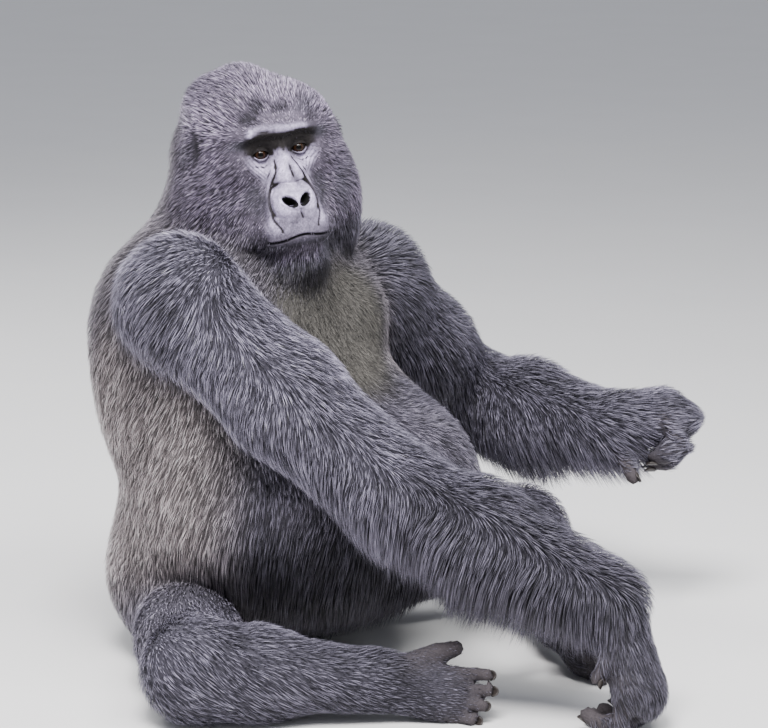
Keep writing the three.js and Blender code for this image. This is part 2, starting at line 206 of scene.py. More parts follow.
CREST_LEAN = 1.4                                   # centimetres, at the top of the head


def both_halves(shape):
    """A shape written for the left half of the head, mirrored to the right half. The crest of this
    animal leans a little to its right."""
    def distance(p):
        q = in_head(p)
        q[:, 0] = np.abs(q[:, 0] + CREST_LEAN * CM * ramp(q[:, 2] / CM, 1, 10))
        return shape(q)
    return distance


def h(left, front, up):
    """A place in the head, written in centimetres."""
    return np.array((left, front, up)) * CM

# %% [markdown]
# ## The animal's masses
# A silverback is a barrel of gut and ribs between very heavy arms. He sits on his rump with both knees
# wide, leans his right arm on its knuckles in front, and lets the left hand hang over the left knee.
# The head is crowned by a tall crest of muscle. These are the same masses as in the solids, which
# they reach to the tips of the coat; the skin will lie inside them by the depth of the coat.

# %% Head, ears and trunk
skull = join(5,
             blob(h(0, -0.5, 1.0), (11.6, 10.8, 9.8)),          # braincase
             blob(h(0, -3.4, 6.8), (5.6, 7.8, 7.0)),            # crest
             blob(h(0, -7.0, -2.6), (9.6, 6.2, 11)),            # neck muscles behind the skull
             blob(h(6.9, 0.6, 3.5), (5.6, 7.4, 5.7)),           # temples
             blob(h(9.8, 0.8, -6.4), (4.9, 6.8, 8.6)),          # cheeks
             blob(h(11.1, -0.8, -13.0), (5.4, 6.8, 9.6)),       # ruff of the cheeks
             blob(h(0, 2.7, -13.6), (10.0, 8.8, 8.0)),          # jaw and beard
             blob(h(6.0, 5.2, -8.6), (4.4, 4.4, 5.4)))          # fullness below the cheekbone
face_mass = join(3, join(3.2, skull, blob(h(6.7, 6.9, -2.0), (3.0, 2.7, 2.5)),
                         blob(h(0, 8.7, -5.4), (3.5, 5.0, 6.6))),
                 blob(h(0, 10.6, -12.4), (5.5, 5.1, 4.4)),      # upper lip
                 blob(h(0, 8.2, -18.8), (6.2, 5.4, 5.3)))       # chin
browed = join(2, face_mass, limb(h(0, 9.3, 3.7), h(5.5, 8, 3.3), 1.65, 1.75),
              blob(h(0, 12.7, -8.7), (3.2, 2.4, 2.7)), blob(h(2.9, 9.2, -12.6), (4.1, 4.9, 3.8)),
              blob(h(2.2, 9.0, -7.9), (2.9, 4.2, 2.9)))      # a broad, nearly flat muzzle
right_crown = blob(np.zeros(3), (4.9, 5.8, 5.4))
halves = both_halves(carve(1.5, browed, blob(h(EYE_OUT, 11.4, 0.2), (2.5, 2.4, 1.75))))


def head_mass(p):
    """Both halves of the head, and the right side of the crown, which is a little fuller."""
    return melt(halves(p), right_crown(p - on_head(-6.0, -4.5, 6.8)), 3 * CM)


ear_mass = both_halves(blob(h(12.7, 0.2, 0.0), (2.2, 2.1, 3.0)))


def pair(make):
    """The same mass made for the right side and for the left."""
    return [make(-1), make(1)]


trunk_mass = join(
    3.5,
    join(8,
         join(6, blob(at(0, 7, 17), (24.5, 19, 18.5)),
              *pair(lambda s: blob(at(10.5 * s, 5, 11.9), (12, 13, 12.5)))),
         join(9, blob(at(4.5, 24, 28), (28, 27, 22)), blob(at(-2, 17, 30), (26, 21, 22)),
              blob(at(0, 10.5, 41.5), (26.5, 22, 19))),
         join(8, blob(at(0, 11, 54), (26, 18, 22)), blob(at(0, 9.8, 63), (25, 13.2, 13.5)),
              *pair(lambda s: blob(at(15 * s, 3.6, 55), (12.5, 11, 17)))),
         limb(at(0, 9, 69), moved(moved(head_centre, way(0, -1, 0), 7), way(0, 0, -1), 3), 15, 10.8)),
    *pair(lambda s: blob(at(10.5 * s, 19.2, 57), (12.5, 9.6, 11))))
print("trunk reaches", round(float(trunk_mass(at(0, 100, 50)[None])[0]), 2), "m short of one metre in front")

# %% Arms and legs
SHOULDER = {"right": at(-23, 17, 64.5), "left": at(28, 13.4, 59.6)}
ELBOW = {"right": at(-11.5, 52, 36), "left": at(59, 12, 33.6)}
WRIST = {"right": at(4.2, 84, 20.4), "left": at(57.5, 46.5, 32.8)}
KNUCKLE = {"right": at(4.4, 90, 7), "left": at(63.8, 54.4, 34.6)}
HIP = {"right": at(-14, 8, 9.2), "left": at(15, 9, 11.8)}
KNEE = {"right": at(-38, 33, 8.3), "left": at(43.5, 36.5, 15.2)}
ANKLE = {"right": at(-18.5, 54, 6.6), "left": at(27, 57, 6.8)}
UPPER_ARM = (10.6, 10.3, 9.2)
FOREARM = {"right": (8.8, 9.4, 7.2), "left": (9.2, 9.8, 7.2)}
THIGH = {"right": (9.4, 8.8, 8.2), "left": (12, 10, 8.2)}
SHIN = (8.2, 7.8, 5.2)


def arm_masses(side):
    """Upper arm with its shoulder, and forearm. The long hair under the forearm belongs to the coat."""
    a, e, w = SHOULDER[side], ELBOW[side], WRIST[side]
    middle = moved((a + e) / 2, way(0, 0, -1), 0.6)
    belly = e + (w - e) * 0.4
    r0, r1, r2 = FOREARM[side]
    upper = join(4, blob(moved(a, way(SIDES[side], 0, 0), 0.5), (10.5, 11, 11.5)),
                 limb(a, middle, UPPER_ARM[0], UPPER_ARM[1]), limb(middle, e, UPPER_ARM[1], UPPER_ARM[2]))
    return upper, join(4, limb(e, belly, r0, r1), limb(belly, w, r1, r2))


def leg_masses(side):
    """Thigh and shin, the shin with its calf."""
    a, k, n = HIP[side], KNEE[side], ANKLE[side]
    middle, calf = (a + k) / 2, k + (n - k) * 0.35
    r0, r1, r2 = THIGH[side]
    return (join(4, limb(a, middle, r0, r1), limb(middle, k, r1, r2)),
            join(4, limb(k, calf, SHIN[0], SHIN[1]), limb(calf, n, SHIN[1], SHIN[2])))

# %% Fingers and toes
FINGER_GAP, TOE_GAP = 3.3, 2.5                     # centimetres from one digit's middle to the next
# of each digit: its name, its place in the row, its size
FINGERS = (("index", -1.5, 0.92), ("middle", -0.5, 1.0), ("ring", 0.5, 0.96), ("little", 1.5, 0.8))
FINGER_BEND = {"right": (30, 64, 48), "left": (76, 70, 42)}
PALM_WAY = {"right": way(-0.2, -0.75, -0.6), "left": way(-0.32, -0.1, -1)}
THUMB_BASE = {"right": (-3.4, 2.6, -4.4), "left": (-3.6, 2.4, -2.6)}
THUMB_WAY = {"right": way(-0.35, 0.1, -0.9), "left": way(-0.25, 0.85, -0.45)}
TOES = (("toe_5", -1.5, 0.78), ("toe_4", -0.5, 0.9), ("toe_3", 0.5, 1.0), ("toe_2", 1.5, 0.96))
TOE_WAY = {"right": way(0.64, 0.76, -0.12), "left": way(-0.6, 0.78, -0.12)}
EDGE_WAY = {"right": way(0.25, -0.35, 1), "left": way(-0.25, -0.35, 1)}


def digit(start, direction, axis, bones, bends, radii):
    """A finger or toe that bends about one axis: its joints, the way its nail faces, its tip's radius
    and its mass."""
    places = [start]
    d = direction
    for bone, bend in zip(bones, bends):
        d = turned(d, axis, bend)
        places.append(moved(places[-1], d, bone))
    rods = [limb(places[i], places[i + 1], radii[i], radii[i + 1]) for i in range(len(bones))]
    return {"joints": places, "back": -unit(np.cross(axis, d)), "radius": radii[-1] * CM,
            "mass": join(0.5, *rods)}


def hand_parts(side):
    """Palm, fingers and thumb, and the way along the hand."""
    wrist, knuckle, palm_way = WRIST[side], KNUCKLE[side], PALM_WAY[side]
    along = unit(knuckle - wrist)
    row = unit(np.cross(palm_way, along)) * SIDES[side]
    bend_axis = unit(np.cross(along, palm_way))
    palm = join(1.5, limb(wrist, knuckle, 6.2, 5.6, palm_way, 0.76),
                limb(moved(knuckle, row, -3.795), moved(knuckle, row, 3.63), 2.9, 2.7),
                limb(moved(wrist, along, 2), moved(knuckle, row, -3.3), 3.6, 3.0))
    digits = {}
    for name, k, size in FINGERS:
        start = moved(moved(knuckle, row, k * FINGER_GAP), along, -0.5 * abs(k))
        digits[name] = digit(start, along, bend_axis, np.array((5.5, 3.9, 2.8)) * size,
                             FINGER_BEND[side], (1.6, 1.52, 1.444, 1.372))
    if side == "left":                                        # the curled fingers close on the palm
        cushions = [blob(one["joints"][1] * 0.5 + one["joints"][3] * 0.5, (2.3, 2.3, 2.3))
                    for one in digits.values()]
        back_end = moved(moved(knuckle, palm_way, -1.9), along, -2.5)
        palm = join(1.5, palm, *cushions, limb(moved(wrist, palm_way, -1.2), back_end, 5.9, 5.0))
    base = wrist + np.array((THUMB_BASE[side][0], -THUMB_BASE[side][1], THUMB_BASE[side][2])) * CM
    digits["thumb"] = digit(base, THUMB_WAY[side], bend_axis, (4.4, 3.2), (0, 18), (1.7, 1.5, 1.2))
    return palm, digits, along


def foot_parts(side):
    """Sole with heel and ball, toes and big toe, and the way along the foot."""
    s, ankle, along = SIDES[side], ANKLE[side], TOE_WAY[side]
    edge = unit(EDGE_WAY[side] - along * (EDGE_WAY[side] @ along))
    sole = unit(np.cross(along, edge)) * s
    heel = moved(moved(ankle, along, -4), edge, -1.6)
    ball = moved(moved(ankle, along, 11.5), edge, -1.2)
    foot = join(2, limb(heel, moved(ankle, along, 3), 4.2, 4.4), limb(ankle, ball, 5.0, 4.8, sole, 0.62))
    digits = {}
    for name, k, size in TOES:
        start = moved(moved(ball, edge, k * TOE_GAP), along, 2 - 0.4 * abs(k - 0.5))
        digits[name] = digit(start, along, edge * s, np.array((3.4, 2.6)) * size, (10, 32),
                             (1.22, 1.183, 1.098))
    start = moved(moved(ankle, along, 6), edge, 3.2)
    outward = unit(along + edge * 0.5 + sole * 0.3)
    digits["big_toe"] = digit(start, outward, edge * s, (4.6, 3.1), (0, 12), (2.2, 1.95, 1.5))
    return foot, digits, along


masses = {"head": head_mass, "ears": ear_mass, "trunk": trunk_mass}
digits, hand_way, foot_way = {}, {}, {}
for side in SIDES:
    masses[f"upper_arm_{side}"], masses[f"forearm_{side}"] = arm_masses(side)
    masses[f"thigh_{side}"], masses[f"shin_{side}"] = leg_masses(side)
    masses[f"hand_{side}"], fingers, hand_way[side] = hand_parts(side)
    masses[f"foot_{side}"], toes, foot_way[side] = foot_parts(side)
    masses[f"fingers_{side}"] = join(0.3, *[finger["mass"] for finger in fingers.values()])
    masses[f"toes_{side}"] = join(0.3, *[toe["mass"] for toe in toes.values()])
    digits.update({f"{name}_{side}": one for name, one in {**fingers, **toes}.items()})
PARTS = list(masses)
print(len(PARTS), "masses and", len(digits), "fingers and toes")

# %% [markdown]
# ## Coat depth
# Hair is long on the arms, shorter on the back, thin on the chest, and missing on the face and the
# palms. So the skin lies at a different depth under the coat's tips from place to place.
# One soft vote does this: the nearer a point is to a part, the more that part's depth counts.

# %% How deep the coat is, and where the face and chest are bare
DEPTH = {"head": 1.15, "ears": 1.0, "trunk": 1.3, "upper_arm": 1.9, "forearm": 1.9, "thigh": 1.3,
         "shin": 1.2, "hand": 0.5, "foot": 0.35, "fingers": 0.12, "toes": 0.12}      # centimetres


def ramp(value, low, high):
    """0 below low, 1 above high, and smooth between them: t t (3 - 2t)."""
    t = np.clip((value - low) / (high - low), 0, 1)
    return t * t * (3 - 2 * t)


RIM_TOP, RIM_FOOT = 5.7, -14.6                     # centimetres up, in the head
RIM_UP = (-15.2, -15.0, -14.7, -14.1, -13, -11, -9, -7, -4.8, -3, -1.3, 0.4, 2, 3.8, 4.8, 5.9)
RIM_LEFT = (0.5, 2.8, 4.5, 5.8, 6.4, 6.3, 5.6, 4.9, 4.9, 5.7, 6.7, 7.1, 7.1, 7.0, 6.5, 4.2)


def beyond_face(p):
    """Centimetres from the rim of the naked face outwards, negative inside it. The rim is given as how
    far it lies to the side at each height."""
    left, front, up = (in_head(p) / CM).T
    out = np.abs(left) - np.interp(up, RIM_UP, RIM_LEFT)
    above_or_below = np.maximum(up - RIM_TOP - 0.06 * np.minimum(-left, 3), RIM_FOOT - up)
    return np.maximum(out, above_or_below) + 0.9 * np.maximum(4.5 - front, 0)


def bare_face(p):
    """1 on the naked face, 0 on the hairy head."""
    return 1 - ramp(beyond_face(p), -0.8, 0.8)


def bare_chest(p):
    """1 in an egg between and on the breast muscles, where a silverback's hair is short and sparse."""
    q = (p - at(1.5, 30, 58)) / (np.array((17, 17, 14)) * CM)
    return 1 - ramp(np.sqrt((q * q).sum(1)), 0.6, 1.1)


def part_distances(p):
    """Each part's distance at each place: a row for each part."""
    return np.array([masses[name](p) for name in PARTS])


def nearness(distances, softness=0.012):
    """Each part's share in a vote, where near parts count exponentially more. The shares add up to 1."""
    share = np.exp(-(distances - distances.min(0)) / softness)
    return share / share.sum(0)


def per_part(table):
    """A table's value for each part; left and right share one."""
    return np.array([table[name.rsplit("_", 1)[0] if name[-4:] in ("left", "ight") else name]
                     for name in PARTS])


def of_part(share, *names):
    """The share of one part, or of several together."""
    total = share[PARTS.index(names[0])]
    for name in names[1:]:
        total = total + share[PARTS.index(name)]
    return total


depth_of = per_part(DEPTH) * CM
FACE_DEPTH, CHEST_DEPTH, OVER_FLOOR = 0.0010, 0.0045, 0.0012       # metres


def coat_depth(p, distances):
    """Metres from the coat's tips down to the skin: thin round the face and on the chest."""
    depth = depth_of @ nearness(distances)
    depth += (FACE_DEPTH - depth) * (1 - ramp(beyond_face(p), -0.6, 5.0))
    return depth + (CHEST_DEPTH - depth) * 0.9 * bare_chest(p)


def body(p, distances=None):
    """The whole animal out to the tips of its coat. Arms and legs melt widely into the trunk near the
    shoulders and hips, and tightly further out, so that an arm lying on the belly keeps its edge."""
    d = dict(zip(PARTS, part_distances(p) if distances is None else distances))
    whole = melt(melt(d["trunk"], d["head"], 0.03), d["ears"], 0.008)
    for side in SIDES:
        for root, first, second, wide, digits_name, last, k in (
                (SHOULDER, "upper_arm", "forearm", 0.06, "fingers", "hand", 0.025),
                (HIP, "thigh", "shin", 0.035, "toes", "foot", 0.02)):
            near = np.exp(-((p - root[side]) ** 2).sum(1) / 0.15 ** 2)
            part = melt(d[f"{first}_{side}"], d[f"{second}_{side}"], 0.04)
            part = melt(part, melt(d[f"{last}_{side}"], d[f"{digits_name}_{side}"], 0.01), k)
            whole = melt(whole, part, 0.01 + wide * near)
    return np.maximum(whole, -p[:, 2])


def skin_distance(p):
    """How far a point is from the skin: the body's distance plus the depth of the coat there."""
    distances = part_distances(p)
    return np.maximum(body(p, distances) + coat_depth(p, distances), OVER_FLOOR - p[:, 2])

# %% [markdown]
# ## One skin
# Real skin runs over all the parts without a seam, so it is made as one mesh. The space round the
# animal is filled with a grid of distances, and wherever the grid crosses zero, a vertex is set into
# that cell and joined to its neighbours. These are surface nets, and they give even four-sided faces
# that a joined set of limbs can't have. Blender's own remesh would do as well, but it can't slide each
# vertex back onto the true form afterwards, which is the last step here.

# %% Surface nets
GRID = 0.0095


def tripled(values, axis):
    """Values on a grid three times finer along one axis, by straight lines between neighbours."""
    a = np.moveaxis(values, axis, 0)
    out = np.empty((3 * (len(a) - 1) + 1,) + a.shape[1:], a.dtype)
    out[::3] = a
    out[1::3] = a[:-1] * 2 / 3 + a[1:] / 3
    out[2::3] = a[:-1] / 3 + a[1:] * 2 / 3
    return np.moveaxis(out, 0, axis)


def grid_of(distance, low, high, step):
    """Distances on a grid. A grid three times coarser says where the surface can be, and only there
    are the fine points worked out in full."""
    counts = np.ceil((high - low) / (3 * step)).astype(int) + 1
    axes = [low[i] + 3 * step * np.arange(counts[i]) for i in range(3)]
    points = np.stack(np.meshgrid(*axes, indexing="ij"), -1)
    values = distance(points.reshape(-1, 3)).reshape(counts)
    for axis in range(3):
        values = tripled(values, axis)
    close = np.argwhere(np.abs(values) < 3.2 * step)
    for some in np.array_split(close, 1 + len(close) // 200000):
        values[tuple(some.T)] = distance(low + some * step)
    return values


def surface_nets(values, low, step):
    """Vertices at the mean of each cell's zero crossings, and a face round each crossed grid edge."""
    inside = values < 0
    corners = [(i, j, k) for i in (0, 1) for j in (0, 1) for k in (0, 1)]
    shape = np.array(values.shape) - 1
    count = sum(inside[i:shape[0] + i, j:shape[1] + j, k:shape[2] + k].astype(int) for i, j, k in corners)
    cells = np.argwhere((count > 0) & (count < 8))
    number = np.full(shape, -1)
    number[tuple(cells.T)] = np.arange(len(cells))
    total, crossings = np.zeros((len(cells), 3)), np.zeros(len(cells))
    for corner in corners:
        for axis in range(3):
            if corner[axis] == 0:
                end = np.array(corner)
                end[axis] = 1
                a, b = values[tuple((cells + corner).T)], values[tuple((cells + end).T)]
                cut = (a < 0) != (b < 0)
                place = np.tile(np.array(corner, float), (len(cells), 1))
                place[:, axis] += a / np.where(cut, a - b, 1)
                total[cut] += place[cut]
                crossings[cut] += 1
    vertices = low + (cells + total / crossings[:, None]) * step
    faces = []
    for axis in range(3):
        here, there = [slice(1, -1)] * 3, [slice(1, -1)] * 3
        here[axis], there[axis] = slice(0, -1), slice(1, None)
        first, second = inside[tuple(here)], inside[tuple(there)]
        edges = np.argwhere(first != second)
        outward = first[tuple(edges.T)]
        edges += [0 if i == axis else 1 for i in range(3)]
        u, v = (axis + 1) % 3, (axis + 2) % 3
        ring = []
        for du, dv in ((0, 0), (-1, 0), (-1, -1), (0, -1)):
            cell = edges.copy()
            cell[:, u] += du
            cell[:, v] += dv
            ring.append(number[tuple(cell.T)])
        ring = np.stack(ring, 1)
        ring[~outward] = ring[~outward, ::-1]
        faces.append(ring)
    return vertices, np.concatenate(faces)


def slope(distance, p, step=0.0008):
    """The direction in which a distance grows fastest, from differences to both sides."""
    g = np.stack([distance(p + e) - distance(p - e) for e in np.eye(3) * step], 1) / (2 * step)
    return g / np.maximum(np.sqrt((g * g).sum(1, keepdims=True)), 1e-9)


def settled(distance, p, rounds=3, reach=0.004):
    """Points slid onto the surface: p - d n, a few times over."""
    for _ in range(rounds):
        p = p - np.clip(distance(p), -reach, reach)[:, None] * slope(distance, p)
    return p


def evened(vertices, faces, rounds=2):
    """Vertices drawn half way to the mean of their neighbours, so that the faces get alike."""
    edges = np.concatenate([faces[:, [i, (i + 1) % 4]] for i in range(4)])
    for _ in range(rounds):
        total = np.zeros_like(vertices)
        np.add.at(total, edges[:, 0], vertices[edges[:, 1]])
        count = np.bincount(edges[:, 0], minlength=len(vertices))[:, None]
        vertices = vertices + 0.5 * (total / count - vertices)
    return vertices


low = np.array(cad_box[0]) - 3 * GRID
high = np.array(cad_box[1]) + 3 * GRID
low[2] = -3.5 * GRID
net, net_faces = surface_nets(grid_of(skin_distance, low, high, GRID), low, GRID)
net = settled(skin_distance, evened(net, net_faces))
print("skin net:", len(net), "vertices,", len(net_faces), "faces")

# %% [markdown]
# ## Finer skin where the face is
# Folds and lids need small faces, the back doesn't. Chosen faces are split in four, twice over the
# face and once more round the eyes, nose and mouth. A face beside them keeps its place and only
# takes the new corners into its rim, so the skin stays one closed piece.

# %% Split the face's faces


def split_faces(vertices, faces, rims, chosen):
    """Each chosen four-sided face becomes four, with new vertices at its middle and its edges' middles.
    Neighbours that touch a split edge become rims with more corners."""
    edges = np.stack([faces, np.roll(faces, -1, 1)], -1)
    low_first = np.sort(edges, -1)
    code = low_first[..., 0] * len(vertices) + low_first[..., 1]
    cut, place = np.unique(code[chosen], return_inverse=True)
    middles = (vertices[cut // len(vertices)] + vertices[cut % len(vertices)]) / 2
    a = faces[chosen]
    m = len(vertices) + place.reshape(-1, 4)
    c = len(vertices) + len(cut) + np.arange(len(a))
    four = [np.stack([a[:, i], m[:, i], c, m[:, i - 1]], 1) for i in range(4)]
    touched = np.isin(code, cut) & ~chosen[:, None]
    beside = touched.any(1)
    for corners, hit, key in zip(faces[beside], touched[beside], code[beside]):
        rim = []
        for i in range(4):
            rim.append(int(corners[i]))
            if hit[i]:
                rim.append(int(len(vertices) + np.searchsorted(cut, key[i])))
        rims.append(rim)
    vertices = np.concatenate([vertices, middles, vertices[a].mean(1)])
    return vertices, np.concatenate([faces[~chosen & ~beside]] + four), rims


def near_features(q):
    """Where the finest faces go: round the eyes, the nose pad and the mouth, and on the cheek under the
    eye, in head centimetres."""
    left, front, up = np.abs(q[:, 0]), q[:, 1], q[:, 2]
    eyes = ((left - EYE_OUT) / 3.0) ** 2 + ((up - EYE_UP) / 2.1) ** 2 < 1
    nose = (left / 5.0) ** 2 + ((up + 6.9) / 4.2) ** 2 < 1
    mouth = (left < 6.6) & (np.abs(up + 13.3) < 1.6)
    cheek = ((left - 4.6) / 2.6) ** 2 + ((up + 1.7) / 2.2) ** 2 < 1
    return (eyes | nose | mouth | cheek) & (front > 5)


def front_block(side, front, low, high):
    """A box over the face: so far to each side, from so far in front, between two heights."""
    return lambda q: (np.abs(q[:, 0]) < side) & (q[:, 1] > front) & (q[:, 2] > low) & (q[:, 2] < high)


ON_FACE = 0.001                                    # how bare a place is to count as face
rims = []
for region in (front_block(8.6, 4.5, -19, 7.6), front_block(7.2, 5.4, -17.6, 6.4), near_features):
    centres = in_head(net[net_faces].mean(1)) / CM
    net, net_faces, rims = split_faces(net, net_faces, rims, region(centres))
on_face = bare_face(net) > ON_FACE
net[on_face] = settled(skin_distance, net[on_face])
print("skin net:", len(net), "vertices,", len(net_faces), "four-sided faces,", len(rims), "rims")

# %% [markdown]
# ## The face
# A gorilla's face is read from a few forms: the bar of the brow, which shines pale, deep-set eyes in
# wrinkled lids, a broad flat bridge with folds that run down to the nose, and the nose itself, a heart
# of two rounded wings with a slanted nostril in each. Under it lies a plain upper lip and a long,
# straight mouth.
# A sculptor would press these in with strokes of a tool, so each one is a stroke here: a line on the
# face with a width and a depth, laid on the head's own left and up.

# %% Strokes on the face


def stroke(q, points, width, height, ends=0.0):
    """Skin raised by height along a line of points, falling off as exp(-(d/width)^2) with distance d.
    With ends, it thins out towards both ends of the line."""
    points = np.array(points, float)
    best, along = np.full(len(q), 1e9), np.zeros(len(q))
    for i in range(len(points) - 1):
        a, d = points[i], points[i + 1] - points[i]
        t = np.clip(((q - a) @ d) / (d @ d), 0, 1)
        gap = np.sqrt((((q - a) - t[:, None] * d) ** 2).sum(1))
        closer = gap < best
        best[closer], along[closer] = gap[closer], ((i + t) / (len(points) - 1))[closer]
    fade = 1 if not ends else np.clip(np.minimum(along, 1 - along) / ends, 0.08, 1)
    return height * np.exp(-(best / width) ** 2) * fade


def egg(q, middle, radii, turn=0.0):
    """How far out of a slanted oval a place is: 1 on its rim."""
    a = math.radians(turn)
    d = q - np.array(middle)
    u, v = d[:, 0] * math.cos(a) + d[:, 1] * math.sin(a), -d[:, 0] * math.sin(a) + d[:, 1] * math.cos(a)
    return np.sqrt((u / radii[0]) ** 2 + (v / radii[1]) ** 2)


def eye_opening(q):
    """1 inside the almond between the lids, 0 outside. Its outer corner is a little higher."""
    left = np.abs(q[:, 0]) - EYE_OUT
    up = q[:, 1] - LIDS_UP - 0.06 * left
    t = np.clip(1 - (left / 1.42) ** 2, 0, 1)
    top, bottom = 0.70 * t ** 0.8, -0.58 * t ** 0.9
    inside = np.minimum(top - up, up - bottom)
    return ramp(np.where(t > 0, inside, -1.0), -0.045, 0.045)


def mouth_height(left):
    """The line between the lips: nearly straight in the middle, lower at the corners."""
    return -12.65 - 1.05 * (1 - np.exp(-(left / 3.0) ** 2))


def wings(q):
    """The heart-shaped nose: two round wings and the tip between them. 1 on its rim."""
    l = np.abs(q[:, 0])
    wing = egg(np.stack([l, q[:, 1]], 1), (1.75, -7.2), (2.05, 2.85), 15)
    return np.minimum(wing, egg(q, (0, -6.6), (1.9, 2.55)))


def nostrils(q):
    """Slanted ovals, high at the outer end and low at the inner. 1 on the rim."""
    return egg(np.stack([np.abs(q[:, 0]), q[:, 1]], 1), (1.30, -7.05), (1.22, 0.70), 31)


BROW_BAR = [(-5.8, 3.5), (-5.1, 4.5), (-4.1, 5.0), (-2.7, 5.15), (-1.0, 4.85), (1.0, 4.35),
            (3.1, 4.2), (5.1, 3.9)]
MOUTH_ENDS = (5.2, 6.1)                            # where the mouth's line fades out, to each side
MOUTH_DEPTH, NOSTRIL_DEPTH = 0.62, 1.9


def crow_lines(l, u):
    """Fine lines that run down and out from under the outer corner of each eye: -1 to 1, 0 elsewhere."""
    across = 0.80 * np.abs(l) - 0.60 * u + 0.12 * np.sin(1.7 * u + l)
    place = egg(np.stack([np.abs(l), u], 1), (5.0, -1.9), (2.1, 2.6), -25)
    return np.sin(across * 11.0) * (1 - ramp(place, 0.5, 1.0))


def relief(q):
    """Height of the face's small forms over the plain head, in centimetres, from left and up."""
    l, u = q[:, 0], q[:, 1]
    side = np.stack([np.abs(l), u], 1)
    # the brow's bar, the hollow under it and the dip over it
    out = stroke(q, BROW_BAR, 0.55, 0.36, 0.12)
    out += stroke(side, [(0, 2.4), (3.4, 2.65), (6.0, 2.0)], 0.90, -0.80)
    out += stroke(q, [(-6.2, 5.2), (-3.0, 6.1), (0.0, 5.7), (3.0, 5.3), (6.0, 4.7)], 0.26, -0.18)
    out += stroke(q, [(0.85, 5.3), (0.95, 3.6)], 0.17, -0.22, 0.3)
    out += stroke(q, [(-4.9, 4.2), (-3.9, 4.35), (-2.6, 4.2), (-1.6, 4.3)], 0.17, -0.14, 0.2)
    out += stroke(q, [(1.7, 3.9), (3.2, 3.7), (4.6, 3.5)], 0.17, -0.12, 0.3)
    # between the eyes
    out += (stroke(q, [(-0.55, 2.5), (-0.7, 0.2)], 0.17, 0.13)
            + stroke(q, [(0.45, 2.5), (0.35, 0.4)], 0.17, 0.12))
    out += (stroke(q, [(-0.05, 2.6), (-0.15, 0.7)], 0.14, -0.15)
            + stroke(side, [(1.05, 1.8), (1.15, 0.2)], 0.17, -0.16))
    # bridge: two flat plates, a crease between them, a fold down each side
    out += stroke(q, [(-0.75, 0.2), (-0.95, -1.8), (-1.1, -3.3)], 0.70, 0.18)
    out += stroke(q, [(0.75, -0.4), (1.4, -2.0), (1.9, -3.4)], 0.62, 0.14)
    out += stroke(q, [(0.1, -0.9), (0.15, -2.2), (0.45, -3.8)], 0.20, -0.24, 0.25)
    out += stroke(side, [(1.25, -0.2), (1.85, -1.9), (2.95, -4.2), (3.5, -5.6)], 0.22, -0.24, 0.12)
    out += stroke(side, [(1.95, -0.6), (2.5, -2.2), (3.5, -4.2), (4.0, -5.6)], 0.22, 0.12, 0.2)
    out += stroke(side, [(2.7, -1.9), (3.4, -3.6), (4.3, -5.4), (4.75, -7.6)], 0.17, -0.14, 0.15)
    over_nose = [(-2.4, -4.15), (-1.0, -4.05), (0.1, -4.25), (1.6, -4.15), (2.6, -4.4)]
    out += stroke(q, over_nose, 0.14, -0.12, 0.15)
    # bags and wrinkles under the eyes
    out += stroke(side, [(1.9, -0.95), (3.4, -1.2), (4.9, -0.85)], 0.30, 0.14, 0.2)
    out += stroke(side, [(1.6, -0.8), (3.3, -1.75), (5.3, -1.35)], 0.14, -0.14, 0.15)
    out += stroke(side, [(1.7, -1.4), (2.6, -2.3), (3.6, -3.5)], 0.13, -0.10, 0.2)
    out += stroke(side, [(1.9, 1.35), (3.3, 1.70), (4.9, 1.3)], 0.14, -0.12, 0.2)
    out += stroke(side, [(4.9, 0.1), (5.9, 0.0), (6.6, -0.3)], 0.12, -0.08, 0.3)
    out += stroke(side, [(4.9, 0.5), (5.9, 0.8), (6.5, 0.8)], 0.12, -0.07, 0.3)
    out += 0.07 * crow_lines(l, u)
    # the nose, the groove round its wings, the nostrils and the groove in the middle
    round_wing = wings(q)
    out += 0.45 * (1 - ramp(round_wing, 0.45, 1.05))
    out -= (0.40 * np.exp(-((round_wing - 1.10) / 0.11) ** 2) * ramp(np.abs(l), 1.7, 2.9)
            * ramp(u, -9.8, -8.4))
    out += stroke(q, [(-0.05, -7.8), (0.15, -8.7), (0.55, -10.2)], 0.13, -0.22, 0.12)
    hole = nostrils(q)
    out -= NOSTRIL_DEPTH * (1 - ramp(hole, 0.50, 1.02)) - 0.12 * np.exp(-((hole - 1.25) / 0.17) ** 2)
    # upper lip
    out += stroke(side, [(4.2, -8.7), (4.0, -10.0), (3.2, -11.4), (3.1, -12.3)], 0.22, -0.20, 0.2)
    out += stroke(side, [(5.0, -8.6), (5.2, -10.2), (4.8, -12.2)], 0.17, -0.10, 0.2)
    for k, (a, b) in enumerate(((-2.4, -2.1), (-1.5, -1.4), (-0.7, -0.7), (1.2, 1.3), (2.2, 2.2))):
        out += stroke(q, [(a, -10.2 - 0.1 * k), (b, -11.7)], 0.13, -0.045, 0.25)
    # mouth
    line = u - mouth_height(l)
    width = 1 - ramp(np.abs(l), *MOUTH_ENDS)
    out -= MOUTH_DEPTH * np.exp(-(line / 0.15) ** 2) * width
    out += (0.14 * np.exp(-((line - 0.40) / 0.30) ** 2) * width
            + 0.12 * np.exp(-((line + 0.65) / 0.60) ** 2) * width)
    out += stroke(side, [(5.2, -12.7), (5.9, -13.9), (5.6, -15.4)], 0.24, -0.14, 0.2)
    return out


LID_THICK = 0.17                                   # centimetres over the eyeball


